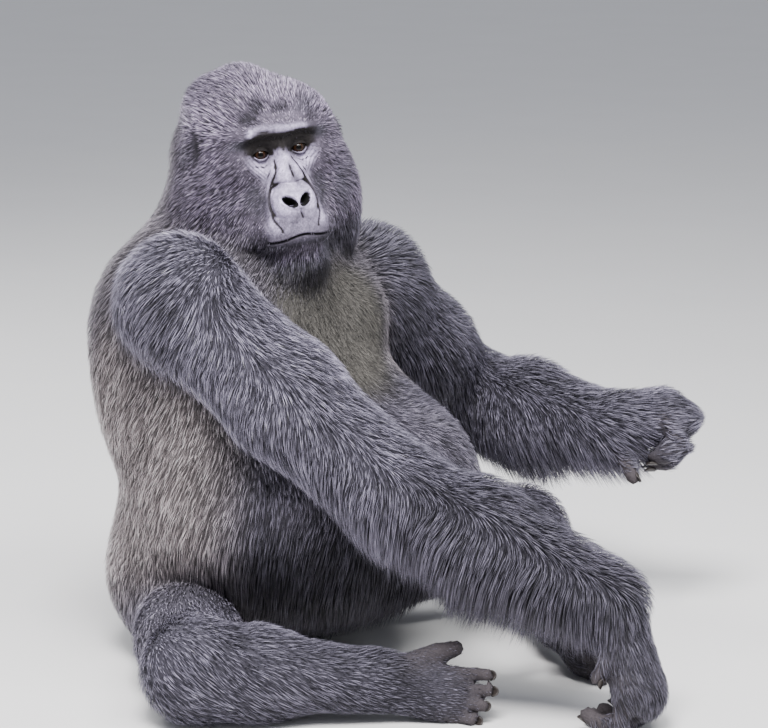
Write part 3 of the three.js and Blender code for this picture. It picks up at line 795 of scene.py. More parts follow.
def lids(p):
    """Skin drawn over the eyeball: out to a shell LID_THICK over it near the lid line, and behind the
    ball inside the opening, so that the lids get a rim."""
    q = in_head(p) / CM
    side = np.sign(q[:, 0])
    centre = np.stack([EYE_OUT * side, np.full(len(q), EYE_FRONT), np.full(len(q), EYE_UP)], 1)
    d = q - centre
    across = np.sqrt(d[:, 0] ** 2 + d[:, 2] ** 2)
    shell = EYE_RADIUS + LID_THICK
    ball = np.sqrt(np.clip(shell ** 2 - across ** 2, 0.25, None))
    wanted = q.copy()
    near = 1 - ramp(across, 1.22, 1.85)
    wanted[:, 1] += near * np.where(d[:, 1] < ball, ball - d[:, 1], 0.55 * (ball - d[:, 1]))
    opening = eye_opening(q[:, [0, 2]])
    wanted[:, 1] -= opening * np.clip(wanted[:, 1] - EYE_FRONT - 0.2, 0, None)
    wanted[:, 1][q[:, 1] < EYE_FRONT - 1] = q[:, 1][q[:, 1] < EYE_FRONT - 1]
    return head_centre + wanted * CM @ head_axes


face = np.nonzero(bare_face(net) > ON_FACE)[0]
p = net[face]
n = slope(skin_distance, p)
q = in_head(p) / CM
height = relief(q[:, [0, 2]]) * ramp(q[:, 1], 5.0, 6.6) * np.clip(n @ head_axes[1] * 1.6, 0, 1)
net[face] = lids(p + n * (height * CM)[:, None])
print("face:", len(face), "vertices, folded from", round(float(height.min() * 10), 1), "to",
      round(float(height.max() * 10), 1), "mm")

# %% [markdown]
# ## Markings shared by skin and coat
# A silverback is slate black with a paler saddle over his lower back, hips and flanks. The hair tips
# are paler than the roots, partly from weather and age and partly as painted highlight, and the dark
# roots are painted shade deep in the coat. The bare face is near black leather with its shine painted
# in pale on the brow's bar, bridge, nose and bags under the eyes, and painted shade round the eyes and
# in its folds. Painted light brightens some regions of the coat and painted shade darkens others.
# Both the skin and each tuft take their colour from the same two functions of a place on the body,
# so a marking runs through hair and skin alike.

# %% Smooth wandering values, and the colours of coat and skin


def wander(p, size, seed, channels=1):
    """Random values that change smoothly over a distance called size: random numbers at the corners
    of a grid of cubes, blended inside each cube by t t (3 - 2t)."""
    table = np.random.default_rng(seed).uniform(-1, 1, (24, 24, 24, channels))
    cell = np.floor(p / size).astype(int)
    t = p / size - cell
    t = t * t * (3 - 2 * t)
    out = 0
    for corner in np.ndindex(2, 2, 2):
        weight = np.prod(np.where(corner, t, 1 - t), axis=1)
        out = out + weight[:, None] * table[tuple(((cell + corner) % 24).T)]
    return out if channels > 1 else out[:, 0]


# linear red, green and blue
COAT = np.array((0.103, 0.096, 0.126))             # slate black
SADDLE = np.array((0.425, 0.372, 0.375))           # silver of an adult male
CHEST = np.array((0.080, 0.075, 0.067))            # short olive grey hair
LIT_BELLY = np.array((0.170, 0.155, 0.200))            # painted highlight: paler where the belly bulges forwards into the light
CROWN = np.array((0.235, 0.198, 0.275))            # weathered lilac grey on head and cheeks
FACE_SHINE = np.array((0.48, 0.420, 0.600))              # painted shine: where the near black leather catches the light
FACE_DARK = np.array((0.012, 0.010, 0.010))        # the leather's own near black; painted shade brings it back round the eyes and in the folds
DIGIT = np.array((0.062, 0.053, 0.057))            # bare fingers and toes


# painted light: the limbs that face the light are made paler, by so much added to 1
PAINTED_LIGHT_GAIN = {"upper_arm_right": 0.85, "upper_arm_left": 0.15, "forearm_left": 0.25, "hand_left": 0.65,
            "fingers_left": 0.40, "thigh_right": 0.95, "shin_right": 0.4}    # added to 1


def mixed(a, b, share):
    """Colour a moved towards b by a share at each place."""
    return a + (b - a) * share[:, None]


def saddle(p, share):
    """1 where the silver saddle lies: the back and flanks below the shoulder blades down to the hips,
    and half of it on the thighs, fading towards the belly and the shoulders. Towards the floor it fades
    as painted shade, most of all to the front."""
    _, front, up = in_body(p).T
    trunk = of_part(share, "trunk") + 0.5 * of_part(share, "thigh_right", "thigh_left")
    ragged = 4 * wander(p, 0.06, 11)
    # painted shade: the saddle fades out low down, where the thighs shade the flanks
    low = 0.15 + 0.85 * ramp(up - 0.35 * front, 7, 20)
    return np.clip(trunk, 0, 1) * (1 - ramp(front, 20, 34)) * (1 - 0.75 * ramp(up + ragged, 45, 64)) * low


def spot(l, u, middle, radii):
    """1 in an oval patch, fading out to its rim."""
    return 1 - ramp(np.sqrt(((l - middle[0]) / radii[0]) ** 2 + ((u - middle[1]) / radii[1]) ** 2), 0.3, 1.1)


def ear_gap(p, size=1.0):
    """1 in the dark notch in front of each ear, where hair parts over it."""
    l, f, u = (in_head(p) / CM).T
    return spot(f, u, (3.2, 2.3), (1.2 * size, 2.7 * size)) * ramp(np.abs(l), 9, 10.5)


def coat_colour(p, share):
    """Colour of the hair at a place. The head is paler than the body, but dark beside the muzzle, low on
    the cheeks and in front of the ears; painted shade darkens it over and beside the brow, under the jaw
    and on the far cheek. A painted pool of light makes a pale bar on the chin, over a beard painted near
    black as the shadow under it. Painted light brightens the limbs that face the light and the top of
    the head, and pales the belly where it bulges forwards; painted shade darkens the belly's underside
    and the breast towards its right. Saddle and breast have tones of their own."""
    on_skull, on_trunk = of_part(share, "head"), of_part(share, "trunk")
    colour = np.tile(COAT, (len(p), 1))
    l, f, u = (in_head(p) / CM).T
    side = np.abs(l)
    head = on_skull * ramp(u, -17, -9) * ramp(f, -9, -2)
    # painted shade over the brow, in the hollow beside it, under the jaw and on the far cheek; the spots
    # beside the muzzle and low on both cheeks are darker too
    dark = (0.6 * spot(l, u, (5.6, 6.6), (2.4, 1.4)) + 0.75 * spot(side, u, (5.4, -6.8), (2.3, 4.2))
            + 0.75 * ramp(-u, 12.5, 16.5) + 0.95 * spot(side, u, (6.4, 2.4), (3.2, 1.5))
            + 0.4 * spot(side, u, (9.5, -8.0), (2.2, 5.0)) + 0.5 * spot(l, u, (11.0, -7.0), (4.0, 6.0)))
    colour = mixed(colour, CROWN, head * np.clip(1 - dark, 0.05, 1))
    # painted shadows: dark patches in the hair over the brow
    forehead_shadows = (spot(l, u, (-4.4, 6.3), (2.5, 1.5)) + spot(l, u, (-2.2, 7.7), (2.0, 1.3))
               + 0.9 * spot(l, u, (1.4, 7.0), (2.6, 0.9)) + 0.7 * spot(l, u, (6.2, 5.0), (1.6, 1.2)))
    colour = mixed(colour, COAT * 0.25, 0.85 * np.clip(forehead_shadows, 0, 1) * ramp(f, 0, 3) * on_skull)
    # painted light: a pale bar on the chin; painted shade: the beard under it near black
    chin = 0.85 * spot(l, u, (0, -15.7), (5.5, 1.7)) * on_skull * ramp(f, 2, 6)
    colour = mixed(colour, CROWN * 1.45, chin)
    colour = mixed(colour, COAT * 0.15, on_skull * ramp(-u, 17.0, 19.2) * ramp(f, -4, 3))
    colour = mixed(colour, COAT * 0.05, ear_gap(p, 1.35) * on_skull)
    left, front, up = in_body(p).T
    colour *= (1 + sum(more * of_part(share, name) for name, more in PAINTED_LIGHT_GAIN.items()))[:, None]
    # painted light: the front of the crown brighter, where light falls from above
    colour *= (1 + 0.18 * on_skull * ramp(f, -2, 4) * ramp(u, 2, 6))[:, None]
    # painted highlight on the forward bulge of the belly
    colour = mixed(colour, LIT_BELLY, on_trunk * ramp(front, 30, 38) * ramp(up, 24, 34))
    # painted shade: the belly's underside darker, low down and to the front
    under = on_trunk * (1 - ramp(up - 0.4 * front, 7, 17)) * ramp(front, 10, 20)
    colour = mixed(colour, COAT * 0.5, under)
    colour = mixed(colour, SADDLE, saddle(p, share))
    # painted shade: the breast darker towards its right
    breast = CHEST * (0.82 + 0.6 * ramp(left, -1, 6))[:, None]
    colour = mixed(colour, breast, bare_chest(p) * on_trunk)
    fine = 0.5 * wander(p, 0.0035, 14) * on_skull
    return colour * (1 + 0.26 * wander(p, 0.05, 12) + 0.20 * wander(p, 0.014, 13) + fine)[:, None]


def skin_colour(p, share):
    """Dark under the coat. On the bare face the near black leather gets a painted shine over nose, brow,
    lower lids and eye bags, and painted shade in the folds, round the eyes, under the brow and in the
    nostrils; it is dark between the lips, with dots on the upper lip."""
    colour = coat_colour(p, share) * 0.3
    colour = mixed(colour, CHEST * 1.2, bare_chest(p) * of_part(share, "trunk"))
    bare = of_part(share, "fingers_right", "fingers_left", "toes_right", "toes_left")
    colour = mixed(colour, DIGIT, np.clip(bare, 0, 1))
    colour = mixed(colour, COAT * 0.4, of_part(share, "ears"))
    q = in_head(p) / CM
    l, u = q[:, 0], q[:, 2]
    flat = np.stack([l, u], 1)
    side = np.stack([np.abs(l), u], 1)
    round_face = beyond_face(p)
    lid = [(2.2, 0.0), (2.8, -0.32), (3.35, -0.46), (3.9, -0.40), (4.5, -0.02)]
    # painted shine: the near black leather made pale where it catches the light, on the brow's bar, the rims
    # of the lower lids, the bridge, the nose, the bags under the eyes, the muzzle's sides and the lips
    pale = (stroke(flat, BROW_BAR, 0.62, 1.0, 0.06) + stroke(side, lid, 0.14, 0.8)
            + stroke(flat, [(-0.7, 0.0), (-1.0, -1.8), (-1.0, -3.6)], 0.95, 0.95)
            + stroke(flat, [(0.6, -0.4), (1.4, -2.2), (1.9, -3.6)], 0.80, 0.65)
            + 0.52 * (1 - ramp(wings(flat), 0.80, 1.15)) + 0.45 * (1 - ramp(wings(flat), 0.2, 0.9))
            + stroke(side, [(2.4, -2.4), (4.6, -1.8), (6.4, -0.8)], 1.25, 0.75)
            + stroke(side, [(3.4, -4.4), (3.9, -7.5), (4.2, -10.5)], 0.9, 0.55)
            + stroke(side, [(0, -10.9), (2.8, -11.2), (5.0, -11.2)], 1.4, 0.34)
            + stroke(side, [(0, -14.0), (3.0, -14.6), (4.6, -15.0)], 0.9, 0.32) + 0.08)
    hole = nostrils(flat)
    ball = egg(side, (EYE_OUT, LIDS_UP + 0.55), (1.85, 1.28))
    dots = np.cos(2 * math.pi * l / 0.62 + 1.5 * np.sin(u)) * np.cos(2 * math.pi * u / 0.62)
    brow_shadow = [(-6.0, 1.9), (-3.6, 2.6), (-1.1, 2.4), (0.3, 2.0), (1.9, 2.2), (3.6, 2.3), (5.7, 2.1)]
    # painted shade: dark under the brow, in the fold under each lower lid, in the crow's lines, at the inner
    # corners and round the eyes, in the folds of the relief and in the nostrils. The dots on the upper lip,
    # the line between the lips and the lip and chin below it are darkened too. The two strokes taken away are
    # painted highlights, on each lower lid's rim and along each upper lid's crease.
    shade = (stroke(flat, brow_shadow, 1.15, 1.2)
             + stroke(side, [(2.1, -0.45), (2.9, -0.83), (3.9, -0.85), (4.8, -0.35)], 0.16, 0.6)
             - stroke(side, lid, 0.14, 0.5)
             + (0.30 * ramp(dots, 0.3, 0.8) * (1 - ramp(np.abs(u + 11.2), 0.8, 1.3))
                * ramp(5.4 - np.abs(l), 0, 1))
             + 0.25 * ramp(-crow_lines(l, u), 0.1, 0.8)
             + stroke(side, [(1.55, 0.15), (2.0, 0.45)], 0.35, 0.9)
             + 0.93 * (1 - ramp(ball, 0.92, 1.2))
             - stroke(side, [(2.3, 1.15), (3.4, 1.50), (4.7, 1.10)], 0.20, 0.22)
             + 1.2 * np.exp(-((u - mouth_height(l)) / 0.22) ** 2) * (1 - ramp(np.abs(l), 5.2, 6.2))
             + 0.35 * ramp(mouth_height(l) - u, 0.1, 0.5) + 0.25 * ramp(-u, 15.4, 17)
             + 1.15 * ramp(-relief(flat), 0.01, 0.19) * (u > -12)
             + 2.0 * (1 - ramp(hole, 0.95, 1.12)))
    tone = np.clip(pale, 0, 1) * (1 - np.clip(shade, 0, 1))
    blotch = 1 + 0.20 * wander(p, 0.012, 21) + 0.30 * wander(p, 0.0045, 22)
    # painted shade: inside the nostrils the leather is darker still
    face = FACE_DARK * (1 - 0.9 * (hole < 1.1))[:, None] + (FACE_SHINE - FACE_DARK) * (tone * blotch)[:, None]
    return mixed(colour, face, 1 - ramp(round_face, -1.9, 0.0))

# %% [markdown]
# ## Materials written as sums
# A material in Blender is a net of nodes. Written out by hand that net is hard to read, so one small
# class stands for a wire between nodes and knows how to add and multiply. `1 - mask` then makes the
# Math node by itself. Every other kind of node comes from one method of the recipe.

# %% A wire, and a recipe that makes nodes


class Wire:
    """The value on a socket. Sums of wires make Math nodes."""

    def __init__(self, recipe, socket):
        self.recipe, self.socket = recipe, socket

    def sum(self, operation, a, b):
        return self.recipe.node("ShaderNodeMath", {"operation": operation}, {0: a, 1: b})

    def __add__(self, other):
        return self.sum("ADD", self, other)

    def __sub__(self, other):
        return self.sum("SUBTRACT", self, other)

    def __rsub__(self, other):
        return self.sum("SUBTRACT", other, self)

    def __mul__(self, other):
        return self.sum("MULTIPLY", self, other)

    __radd__, __rmul__ = __add__, __mul__


class Recipe:
    """A material under way. node() adds any node: its type, its settings, then its sockets."""

    def __init__(self, name):
        self.material = bpy.data.materials.new(name)
        self.material.use_nodes = True
        self.tree = self.material.node_tree
        self.tree.nodes.clear()

    def node(self, kind, settings=None, sockets=None, out=0):
        node = self.tree.nodes.new(kind)
        for key, value in (settings or {}).items():
            setattr(node, key, value)
        for key, value in (sockets or {}).items():
            if isinstance(value, Wire):
                self.tree.links.new(value.socket, node.inputs[key])
            else:
                node.inputs[key].default_value = value
        return Wire(self, node.outputs[out])

    def place(self):
        return self.node("ShaderNodeTexCoord", out="Object")

    def attribute(self, name, out="Color"):
        return self.node("ShaderNodeAttribute", {"attribute_name": name}, out=out)

    def noise(self, scale, detail=3.0, where=None):
        return self.node("ShaderNodeTexNoise", None, {"Vector": where or self.place(), "Scale": scale,
                                                      "Detail": detail}, out="Fac")

    def tint(self, colour, share, other):
        """Colour mixed towards another colour by a share."""
        return self.node("ShaderNodeMix", {"data_type": "RGBA"}, {0: share, 6: colour, 7: other}, out=2)

    def times(self, colour, factor):
        return self.node("ShaderNodeVectorMath", {"operation": "SCALE"}, {0: colour, "Scale": factor})

    def bump(self, height, distance, strength=1.0, under=None):
        sockets = {"Height": height, "Distance": distance, "Strength": strength}
        if under:
            sockets["Normal"] = under
        return self.node("ShaderNodeBump", None, sockets, out="Normal")

    def finish(self, **sockets):
        """The surface itself: a Principled shader wired to the output."""
        names = {key.replace("_", " "): value for key, value in sockets.items()}
        shader = self.node("ShaderNodeBsdfPrincipled", None, names)
        output = self.tree.nodes.new("ShaderNodeOutputMaterial")
        self.tree.links.new(shader.socket, output.inputs["Surface"])
        return self.material


def squares(rows, columns):
    """The four-sided faces of a grid whose points are numbered row by row."""
    i, j = np.meshgrid(np.arange(rows - 1), np.arange(columns - 1), indexing="ij")
    a = (i * columns + j).ravel()
    return np.stack([a, a + 1, a + columns + 1, a + columns], 1)


def piece_of(name, vertices, faces, material, colours=None):
    """A mesh object at the origin that rides with the animal, its vertices put in as whole arrays."""
    mesh = bpy.data.meshes.new(name)
    mesh.from_pydata(np.asarray(vertices).tolist(), [], faces)
    mesh.polygons.foreach_set("use_smooth", np.ones(len(mesh.polygons), bool))
    for attribute, values in (colours or {}).items():
        layer = mesh.attributes.new(attribute, "FLOAT_COLOR", "POINT")
        layer.data.foreach_set("color", np.c_[values, np.ones(len(values))].ravel().astype(np.float32))
    mesh.materials.append(material)
    mesh.update()
    piece = bpy.data.objects.new(name, mesh)
    bpy.context.scene.collection.objects.link(piece)
    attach(piece, "root")
    return piece

# %% [markdown]
# ## The skin's finish
# Under the coat the skin is dark and dull. On the face it is leather: fine cracks about 3 mm apart,
# small lumps, and grease that shines where the face is pale, on the nose and brow. Two layers of bump
# make cracks and lumps, and a very fine noise, for pores, lets the roughness wander, because a greasy
# skin never shines evenly.

# %% The skin piece
CRACKS_PER_METRE, PORES_PER_METRE, LUMPS_PER_METRE = 360.0, 900.0, 220.0
flesh = Recipe("bare_leathery_skin")
cracks = flesh.node("ShaderNodeTexVoronoi", {"feature": "DISTANCE_TO_EDGE"},
                    {"Vector": flesh.place(), "Scale": CRACKS_PER_METRE}, out="Distance")
pores = flesh.noise(PORES_PER_METRE, 2.0)
leather = flesh.bump(flesh.noise(LUMPS_PER_METRE, 4.0), 0.0020, 0.55, flesh.bump(cracks, 0.0012, 0.45))
# painted shade: the colour is darker in the cracks
lines = flesh.node("ShaderNodeMapRange", None, {"Value": cracks, 2: 0.10, 3: 0.78, 4: 1.0})
tone = flesh.times(flesh.attribute("skin_tone"), lines * (0.30 + 1.40 * flesh.noise(330.0, 4.0)))
grease = flesh.attribute("skin_tone", "Fac")
skin_finish = flesh.finish(Base_Color=tone, Roughness=0.78 + 0.15 * pores - 1.1 * grease, Normal=leather,
                           Specular_IOR_Level=0.22)

share = nearness(part_distances(net))
all_faces = net_faces.tolist() + rims
FLESH = [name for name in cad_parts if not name.startswith("eye")]
skin = piece_of("skin", net, all_faces, skin_finish, {"skin_tone": skin_colour(net, share)})
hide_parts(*FLESH)
print("skin:", len(skin.data.vertices), "vertices, replaces", len(FLESH), "solids")

# %% [markdown]
# ## Eyes
# A gorilla's eye is a wet ball with a clear dome over an amber-brown iris. The white is brown too.
# The ball is turned from a profile, as on a lathe, about the line of sight, with the dome as a second,
# tighter curve. Its colours come from the angle away from the line of sight, kept at each vertex with
# the turn about that line, which the iris's streaks follow. Both eyes look a little further to the side
# than the head does.

# %% Two eyeballs
GAZE = unit(0.62 * unit(way(-0.749, 0.629, 0.245)) + 0.38 * head_axes[1])
RINGS, AROUND = 48, 64
DOME, DOME_ANGLE = 0.06, 30                        # a share of the radius; degrees


def eyeball(centre):
    """Rings of the angle a from the line of sight: radius R (1 + DOME exp(-(a/DOME_ANGLE)^4)), the dome
    of the cornea, turned about the line of sight."""
    across = unit(np.cross(GAZE, (0, 0, 1)))
    above = np.cross(across, GAZE)
    a = np.linspace(0, math.pi, RINGS + 1)[1:-1]
    turn = np.linspace(0, 2 * math.pi, AROUND, endpoint=False)
    radius = EYE_RADIUS * CM * (1 + DOME * np.exp(-(a / math.radians(DOME_ANGLE)) ** 4))
    ring = np.cos(turn)[:, None] * across + np.sin(turn)[:, None] * above
    body = radius[:, None, None] * (np.cos(a)[:, None, None] * GAZE + np.sin(a)[:, None, None] * ring)
    poles = np.array([GAZE * EYE_RADIUS * CM * (1 + DOME), -GAZE * EYE_RADIUS * CM])
    points = centre + np.concatenate([body.reshape(-1, 3), poles])
    k, j = np.meshgrid(np.arange(RINGS - 2), np.arange(AROUND), indexing="ij")
    n = (j + 1) % AROUND
    quads = np.stack([k * AROUND + j, (k + 1) * AROUND + j, (k + 1) * AROUND + n, k * AROUND + n], -1)
    j = np.arange(AROUND)
    n, last, front = (j + 1) % AROUND, (RINGS - 2) * AROUND, (RINGS - 1) * AROUND
    caps = np.stack([np.full(AROUND, front), j, n], 1).tolist()
    caps += np.stack([np.full(AROUND, front + 1), last + n, last + j], 1).tolist()
    angles = np.concatenate([np.repeat(np.degrees(a), AROUND), [0, 180]]) / 100
    turns = np.concatenate([np.tile(turn, RINGS - 1), [0, 0]])
    sight = np.stack([angles, np.cos(turns) * 0.5 + 0.5, np.sin(turns) * 0.5 + 0.5], 1)
    return points, quads.reshape(-1, 4).tolist() + caps, sight


EYE_TONES = ((0.0, (0.001, 0.001, 0.001)), (0.15, (0.001, 0.001, 0.001)),            # pupil
             (0.18, (0.008, 0.003, 0.0015)), (0.28, (0.024, 0.011, 0.005)),          # iris
             (0.36, (0.016, 0.007, 0.003)), (0.42, (0.003, 0.002, 0.002)),           # its dark rim
             (0.62, (0.012, 0.009, 0.007)))                                          # brown white
wet = Recipe("wet_amber_eye")
ways = wet.node("ShaderNodeSeparateColor", None, {"Color": wet.attribute("sight")}, out="Red")
streaks = wet.noise(14.0, 4.0, wet.attribute("sight", "Vector"))
rings = wet.node("ShaderNodeValToRGB", None, {"Fac": ways + 0.05 * (streaks - 0.5)})
stops = rings.socket.node.color_ramp.elements
for i, (place, colour) in enumerate(EYE_TONES):
    stop = stops[0] if i == 0 else stops.new(place)
    stop.position, stop.color = place, (*colour, 1)
stops.remove(stops[-1])
eye_finish = wet.finish(Base_Color=rings, Roughness=0.10, Specular_IOR_Level=0.03, Coat_Weight=0.35,
                        Coat_Roughness=0.02)
for name, side in SIDES.items():
    points, faces, sight = eyeball(on_head(EYE_OUT * side, EYE_FRONT, EYE_UP))
    eye = piece_of(f"eyeball_{name}", points, faces, eye_finish, {"sight": sight})
    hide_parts(f"eye_{name}")
print("eyes look along", GAZE.round(2))

# %% [markdown]
# ## Nails
# Gorillas have flat nails like ours, dark and a little shiny, on every finger and toe. Each is a small
# curved shield of even thickness, laid on the back of the last bone.

# %% A nail on every digit


NAIL_ARC, NAIL_TOP, NAIL_UNDER = 104, 0.0004, -0.0022      # degrees; metres over the last bone's radius
NAIL_LINES = 9


def nail(one):
    """A shield bent round the finger: across it runs an arc of NAIL_ARC on the last bone's radius,
    along it a rounded outline. The outer and the inner sheet close at the rim."""
    tip, root = one["joints"][-1], one["joints"][-2]
    along = unit(tip - root)
    back = unit(one["back"] - along * (one["back"] @ along))
    across = unit(np.cross(along, back))
    a, b = np.meshgrid(*[np.linspace(-1, 1, NAIL_LINES)] * 2, indexing="ij")
    u, v = a * np.sqrt(1 - 0.5 * b ** 2), b * np.sqrt(1 - 0.5 * a ** 2)
    angle = u * math.radians(NAIL_ARC / 2)
    sheets = []
    for lift in (NAIL_TOP, NAIL_UNDER):
        r = one["radius"] * 0.99 + lift
        sheets.append(tip + along * (v[..., None] * 0.75 + 0.15) * one["radius"]
                      + (r * np.cos(angle))[..., None] * back + (r * np.sin(angle))[..., None] * across)
    points = np.concatenate([sheet.reshape(-1, 3) for sheet in sheets])
    points[:, 2] = np.maximum(points[:, 2], 0.0005)
    n, count = NAIL_LINES, NAIL_LINES ** 2
    top = squares(n, n)[:, [0, 3, 2, 1]]
    rim = np.concatenate([np.arange(n), np.arange(2 * n - 1, count, n),
                          np.arange(count - 2, count - n - 1, -1), np.arange(count - 2 * n, 0, -n)])
    after = np.roll(rim, -1)
    faces = np.concatenate([top, top[:, ::-1] + count, np.stack([rim, after, after + count, rim + count], 1)])
    return points, faces


horn = Recipe("dark_nail")
ridges = horn.node("ShaderNodeTexWave", {"bands_direction": "X"},
                   {"Vector": horn.place(), "Scale": 260.0, "Distortion": 2.0}, out="Fac")
nail_tone = horn.tint((0.020, 0.016, 0.015, 1), horn.noise(180.0), (0.045, 0.037, 0.033, 1))
nail_finish = horn.finish(Base_Color=nail_tone, Roughness=0.30 + 0.15 * horn.noise(90.0),
                          Normal=horn.bump(ridges, 0.0003, 0.4))
points, faces, start = [], [], 0
for one in digits.values():
    p, f = nail(one)
    points.append(p)
    faces.append(f + start)
    start += len(p)
piece_of("nails", np.concatenate(points), np.concatenate(faces).tolist(), nail_finish)
print("nails:", len(digits), "shields")

# %% [markdown]
# ## The lie of the coat
# Hair doesn't stand straight out, it lies down along the body: back over the crown, down the back and
# belly, down and backwards over the shoulders and arms. Under the forearms it hangs, so that an arm
# looks much thicker than its bones. Each part gets a direction of its own, and a soft vote between
# parts blends them, so no seam shows where an arm meets the chest.

# %% Direction, length and density of the hair
LENGTH = {"head": 1.8, "ears": 0.5, "trunk": 2.6, "upper_arm": 3.1, "forearm": 3.6, "thigh": 2.5,
          "shin": 2.4, "hand": 2.4, "foot": 1.3, "fingers": 1.8, "toes": 0.5}      # centimetres
# tufts wanted on a square centimetre, one part against another; TUFTS sets how many there are in all
PER_CM2 = {"head": 16.0, "ears": 6.0, "trunk": 5.5, "upper_arm": 6.5, "forearm": 6.5, "thigh": 5.0,
           "shin": 5.0, "hand": 10.0, "foot": 8.0, "fingers": 10.0, "toes": 1.5}


RIM_HAIR, CHEST_HAIR = 0.75, 1.1                   # centimetres, at the rim of the face and on the chest


def towards(v):
    """Directions of length one, row by row."""
    return v / np.maximum(np.sqrt((v * v).sum(-1, keepdims=True)), 1e-9)


def head_lie(p):
    """Up and back over the crown, back and down over the cheeks, straight down in the beard and nape."""
    l, _, u = (in_head(p) / CM).T
    side = np.clip(l / 6, -1, 1)
    top, low = ramp(u, 0.5, 6.5), ramp(-u, 5.0, 12.0)
    middle = (1 - top) * (1 - low)
    left = side * (0.40 * top + 0.70 * middle + 0.20 * low)
    front = -0.80 * top - 0.50 * middle + 0.05 * low
    rise = 0.55 * top - 0.60 * middle - 1.0 * low
    return np.stack([left, front, rise], 1) @ head_axes


def trunk_lie(p):
    """Down, out over the shoulders and a little round to the back."""
    left, _, up = in_body(p).T
    yoke = ramp(up, 52, 68)
    side = np.clip(left / 16, -1, 1)
    return np.stack([side * (0.2 + 0.7 * yoke), 0.2 + 0.3 * yoke, -1 + 0.45 * yoke], 1)


def over(along):
    """The way up, square to a limb: the limb's upper edge faces it."""
    return unit(np.array((0, 0, 1.0)) - along * along[2])


def arm_lie(p, n, side):
    """Upper arm: out and back over the shoulder, then straight down; along the arm on its upper edge."""
    along = unit(ELBOW[side] - SHOULDER[side])
    t = np.clip((p - SHOULDER[side]) @ along / np.linalg.norm(ELBOW[side] - SHOULDER[side]), 0, 1)[:, None]
    top = ramp(n @ over(along), 0.1, 0.85)[:, None] * ramp(t, -0.02, 0.22)
    out = way(SIDES[side], -0.3, 0)
    return ((1 - t) ** 2 * 1.2 * out * (1 - 0.7 * top) + (0.15 + 0.35 * t + 1.0 * top) * along
            + way(0, 0, -1) * (0.9 - 0.75 * top))


def forearm_lie(n, side):
    """Forearm: it hangs, leaning to the elbow on the right arm and to the wrist on the left; along the
    arm on its upper edge."""
    along = unit(WRIST[side] - ELBOW[side])
    top = ramp(n @ over(along), 0.25, 0.95)[:, None]
    lean = -0.42 if side == "right" else 0.65
    return along * (lean + (0.9 - lean) * top) + way(0, 0, -1) * (0.85 - 0.65 * top)


def lie(p, n, share):
    """The way hair points on the skin at each place: the parts' directions weighed by their shares,
    laid flat on the skin, and wandering a little as real hair does. On top of the body the pull
    downwards fades, or the hair would part there like a star."""
    ways = np.zeros_like(p)
    for i, name in enumerate(PARTS):
        side = name.rsplit("_", 1)[-1]
        if name in ("head", "ears"):
            v = head_lie(p)
        elif name == "trunk":
            v = trunk_lie(p)
        elif name.startswith("upper_arm"):
            v = arm_lie(p, n, side)
        elif name.startswith("forearm"):
            v = forearm_lie(n, side)
        elif name.startswith("thigh"):
            v = unit(KNEE[side] - HIP[side]) + np.array((0, 0, -0.3))
        elif name.startswith("shin"):
            v = unit(ANKLE[side] - KNEE[side]) + np.array((0, 0, -0.4))
        else:
            v = hand_way[side] if name.startswith(("hand", "fingers")) else foot_way[side]
        ways += share[i][:, None] * towards(np.broadcast_to(v, p.shape))
    ways[:, 2] *= 1 - 0.6 * ramp(n[:, 2], 0.35, 0.95)
    ways = towards(ways) + 0.18 * wander(p, 0.07, 31, 3) + 0.10 * wander(p, 0.02, 32, 3)
    return towards(ways - (ways * n).sum(1, keepdims=True) * n)


def hanging(p, n, share):
    """1 where hair hangs free in a fringe: under the forearms, under the belly and, half as much, near
    the right elbow."""
    below = ramp(-n[:, 2], -0.15, 0.7)
    front = in_body(p)[:, 1]
    return below * np.clip(of_part(share, "forearm_right") + 0.8 * of_part(share, "forearm_left")
                           + 0.8 * of_part(share, "trunk") * ramp(front, 10, 30)
                           + 0.5 * of_part(share, "upper_arm_right") * ramp(front, 30, 48), 0, 1)


def hair_length(p, n, share):
    """Centimetres: each part's own length, growing from the rim of the face outwards, short on the
    chest, under the brow and before the ears, long in the beard and in the fringes."""
    length = per_part(LENGTH) @ share
    head = of_part(share, "head")
    up = in_head(p)[:, 2] / CM
    length = length + head * 1.5 * ramp(-up, 14, 19)
    at_rim = 1 - head * (1 - ramp(beyond_face(p), -0.3, 4.0))
    length = RIM_HAIR + (length - RIM_HAIR) * at_rim
    length = length - 0.25 * in_hollow(p) - 0.9 * ear_gap(p, 2.2) * head
    length = length + (CHEST_HAIR - length) * bare_chest(p) * 0.9
    return length * (1 + 1.1 * hanging(p, n, share)) * (1 + 0.18 * wander(p, 0.03, 33))


def in_hollow(p):
    """1 in the hollow under the brow, which is grown with short hair; that hair is painted near black as the
    shade under the brow.
    """
    q = in_head(p) / CM
    side = np.stack([np.abs(q[:, 0]), q[:, 2]], 1)
    return stroke(side, [(0, 2.7), (3.4, 3.0), (6.2, 2.3)], 0.7, 1.0) * (q[:, 1] > 5)


finger_tips = np.array([one["joints"][-1] for name, one in digits.items() if "toe" not in name])


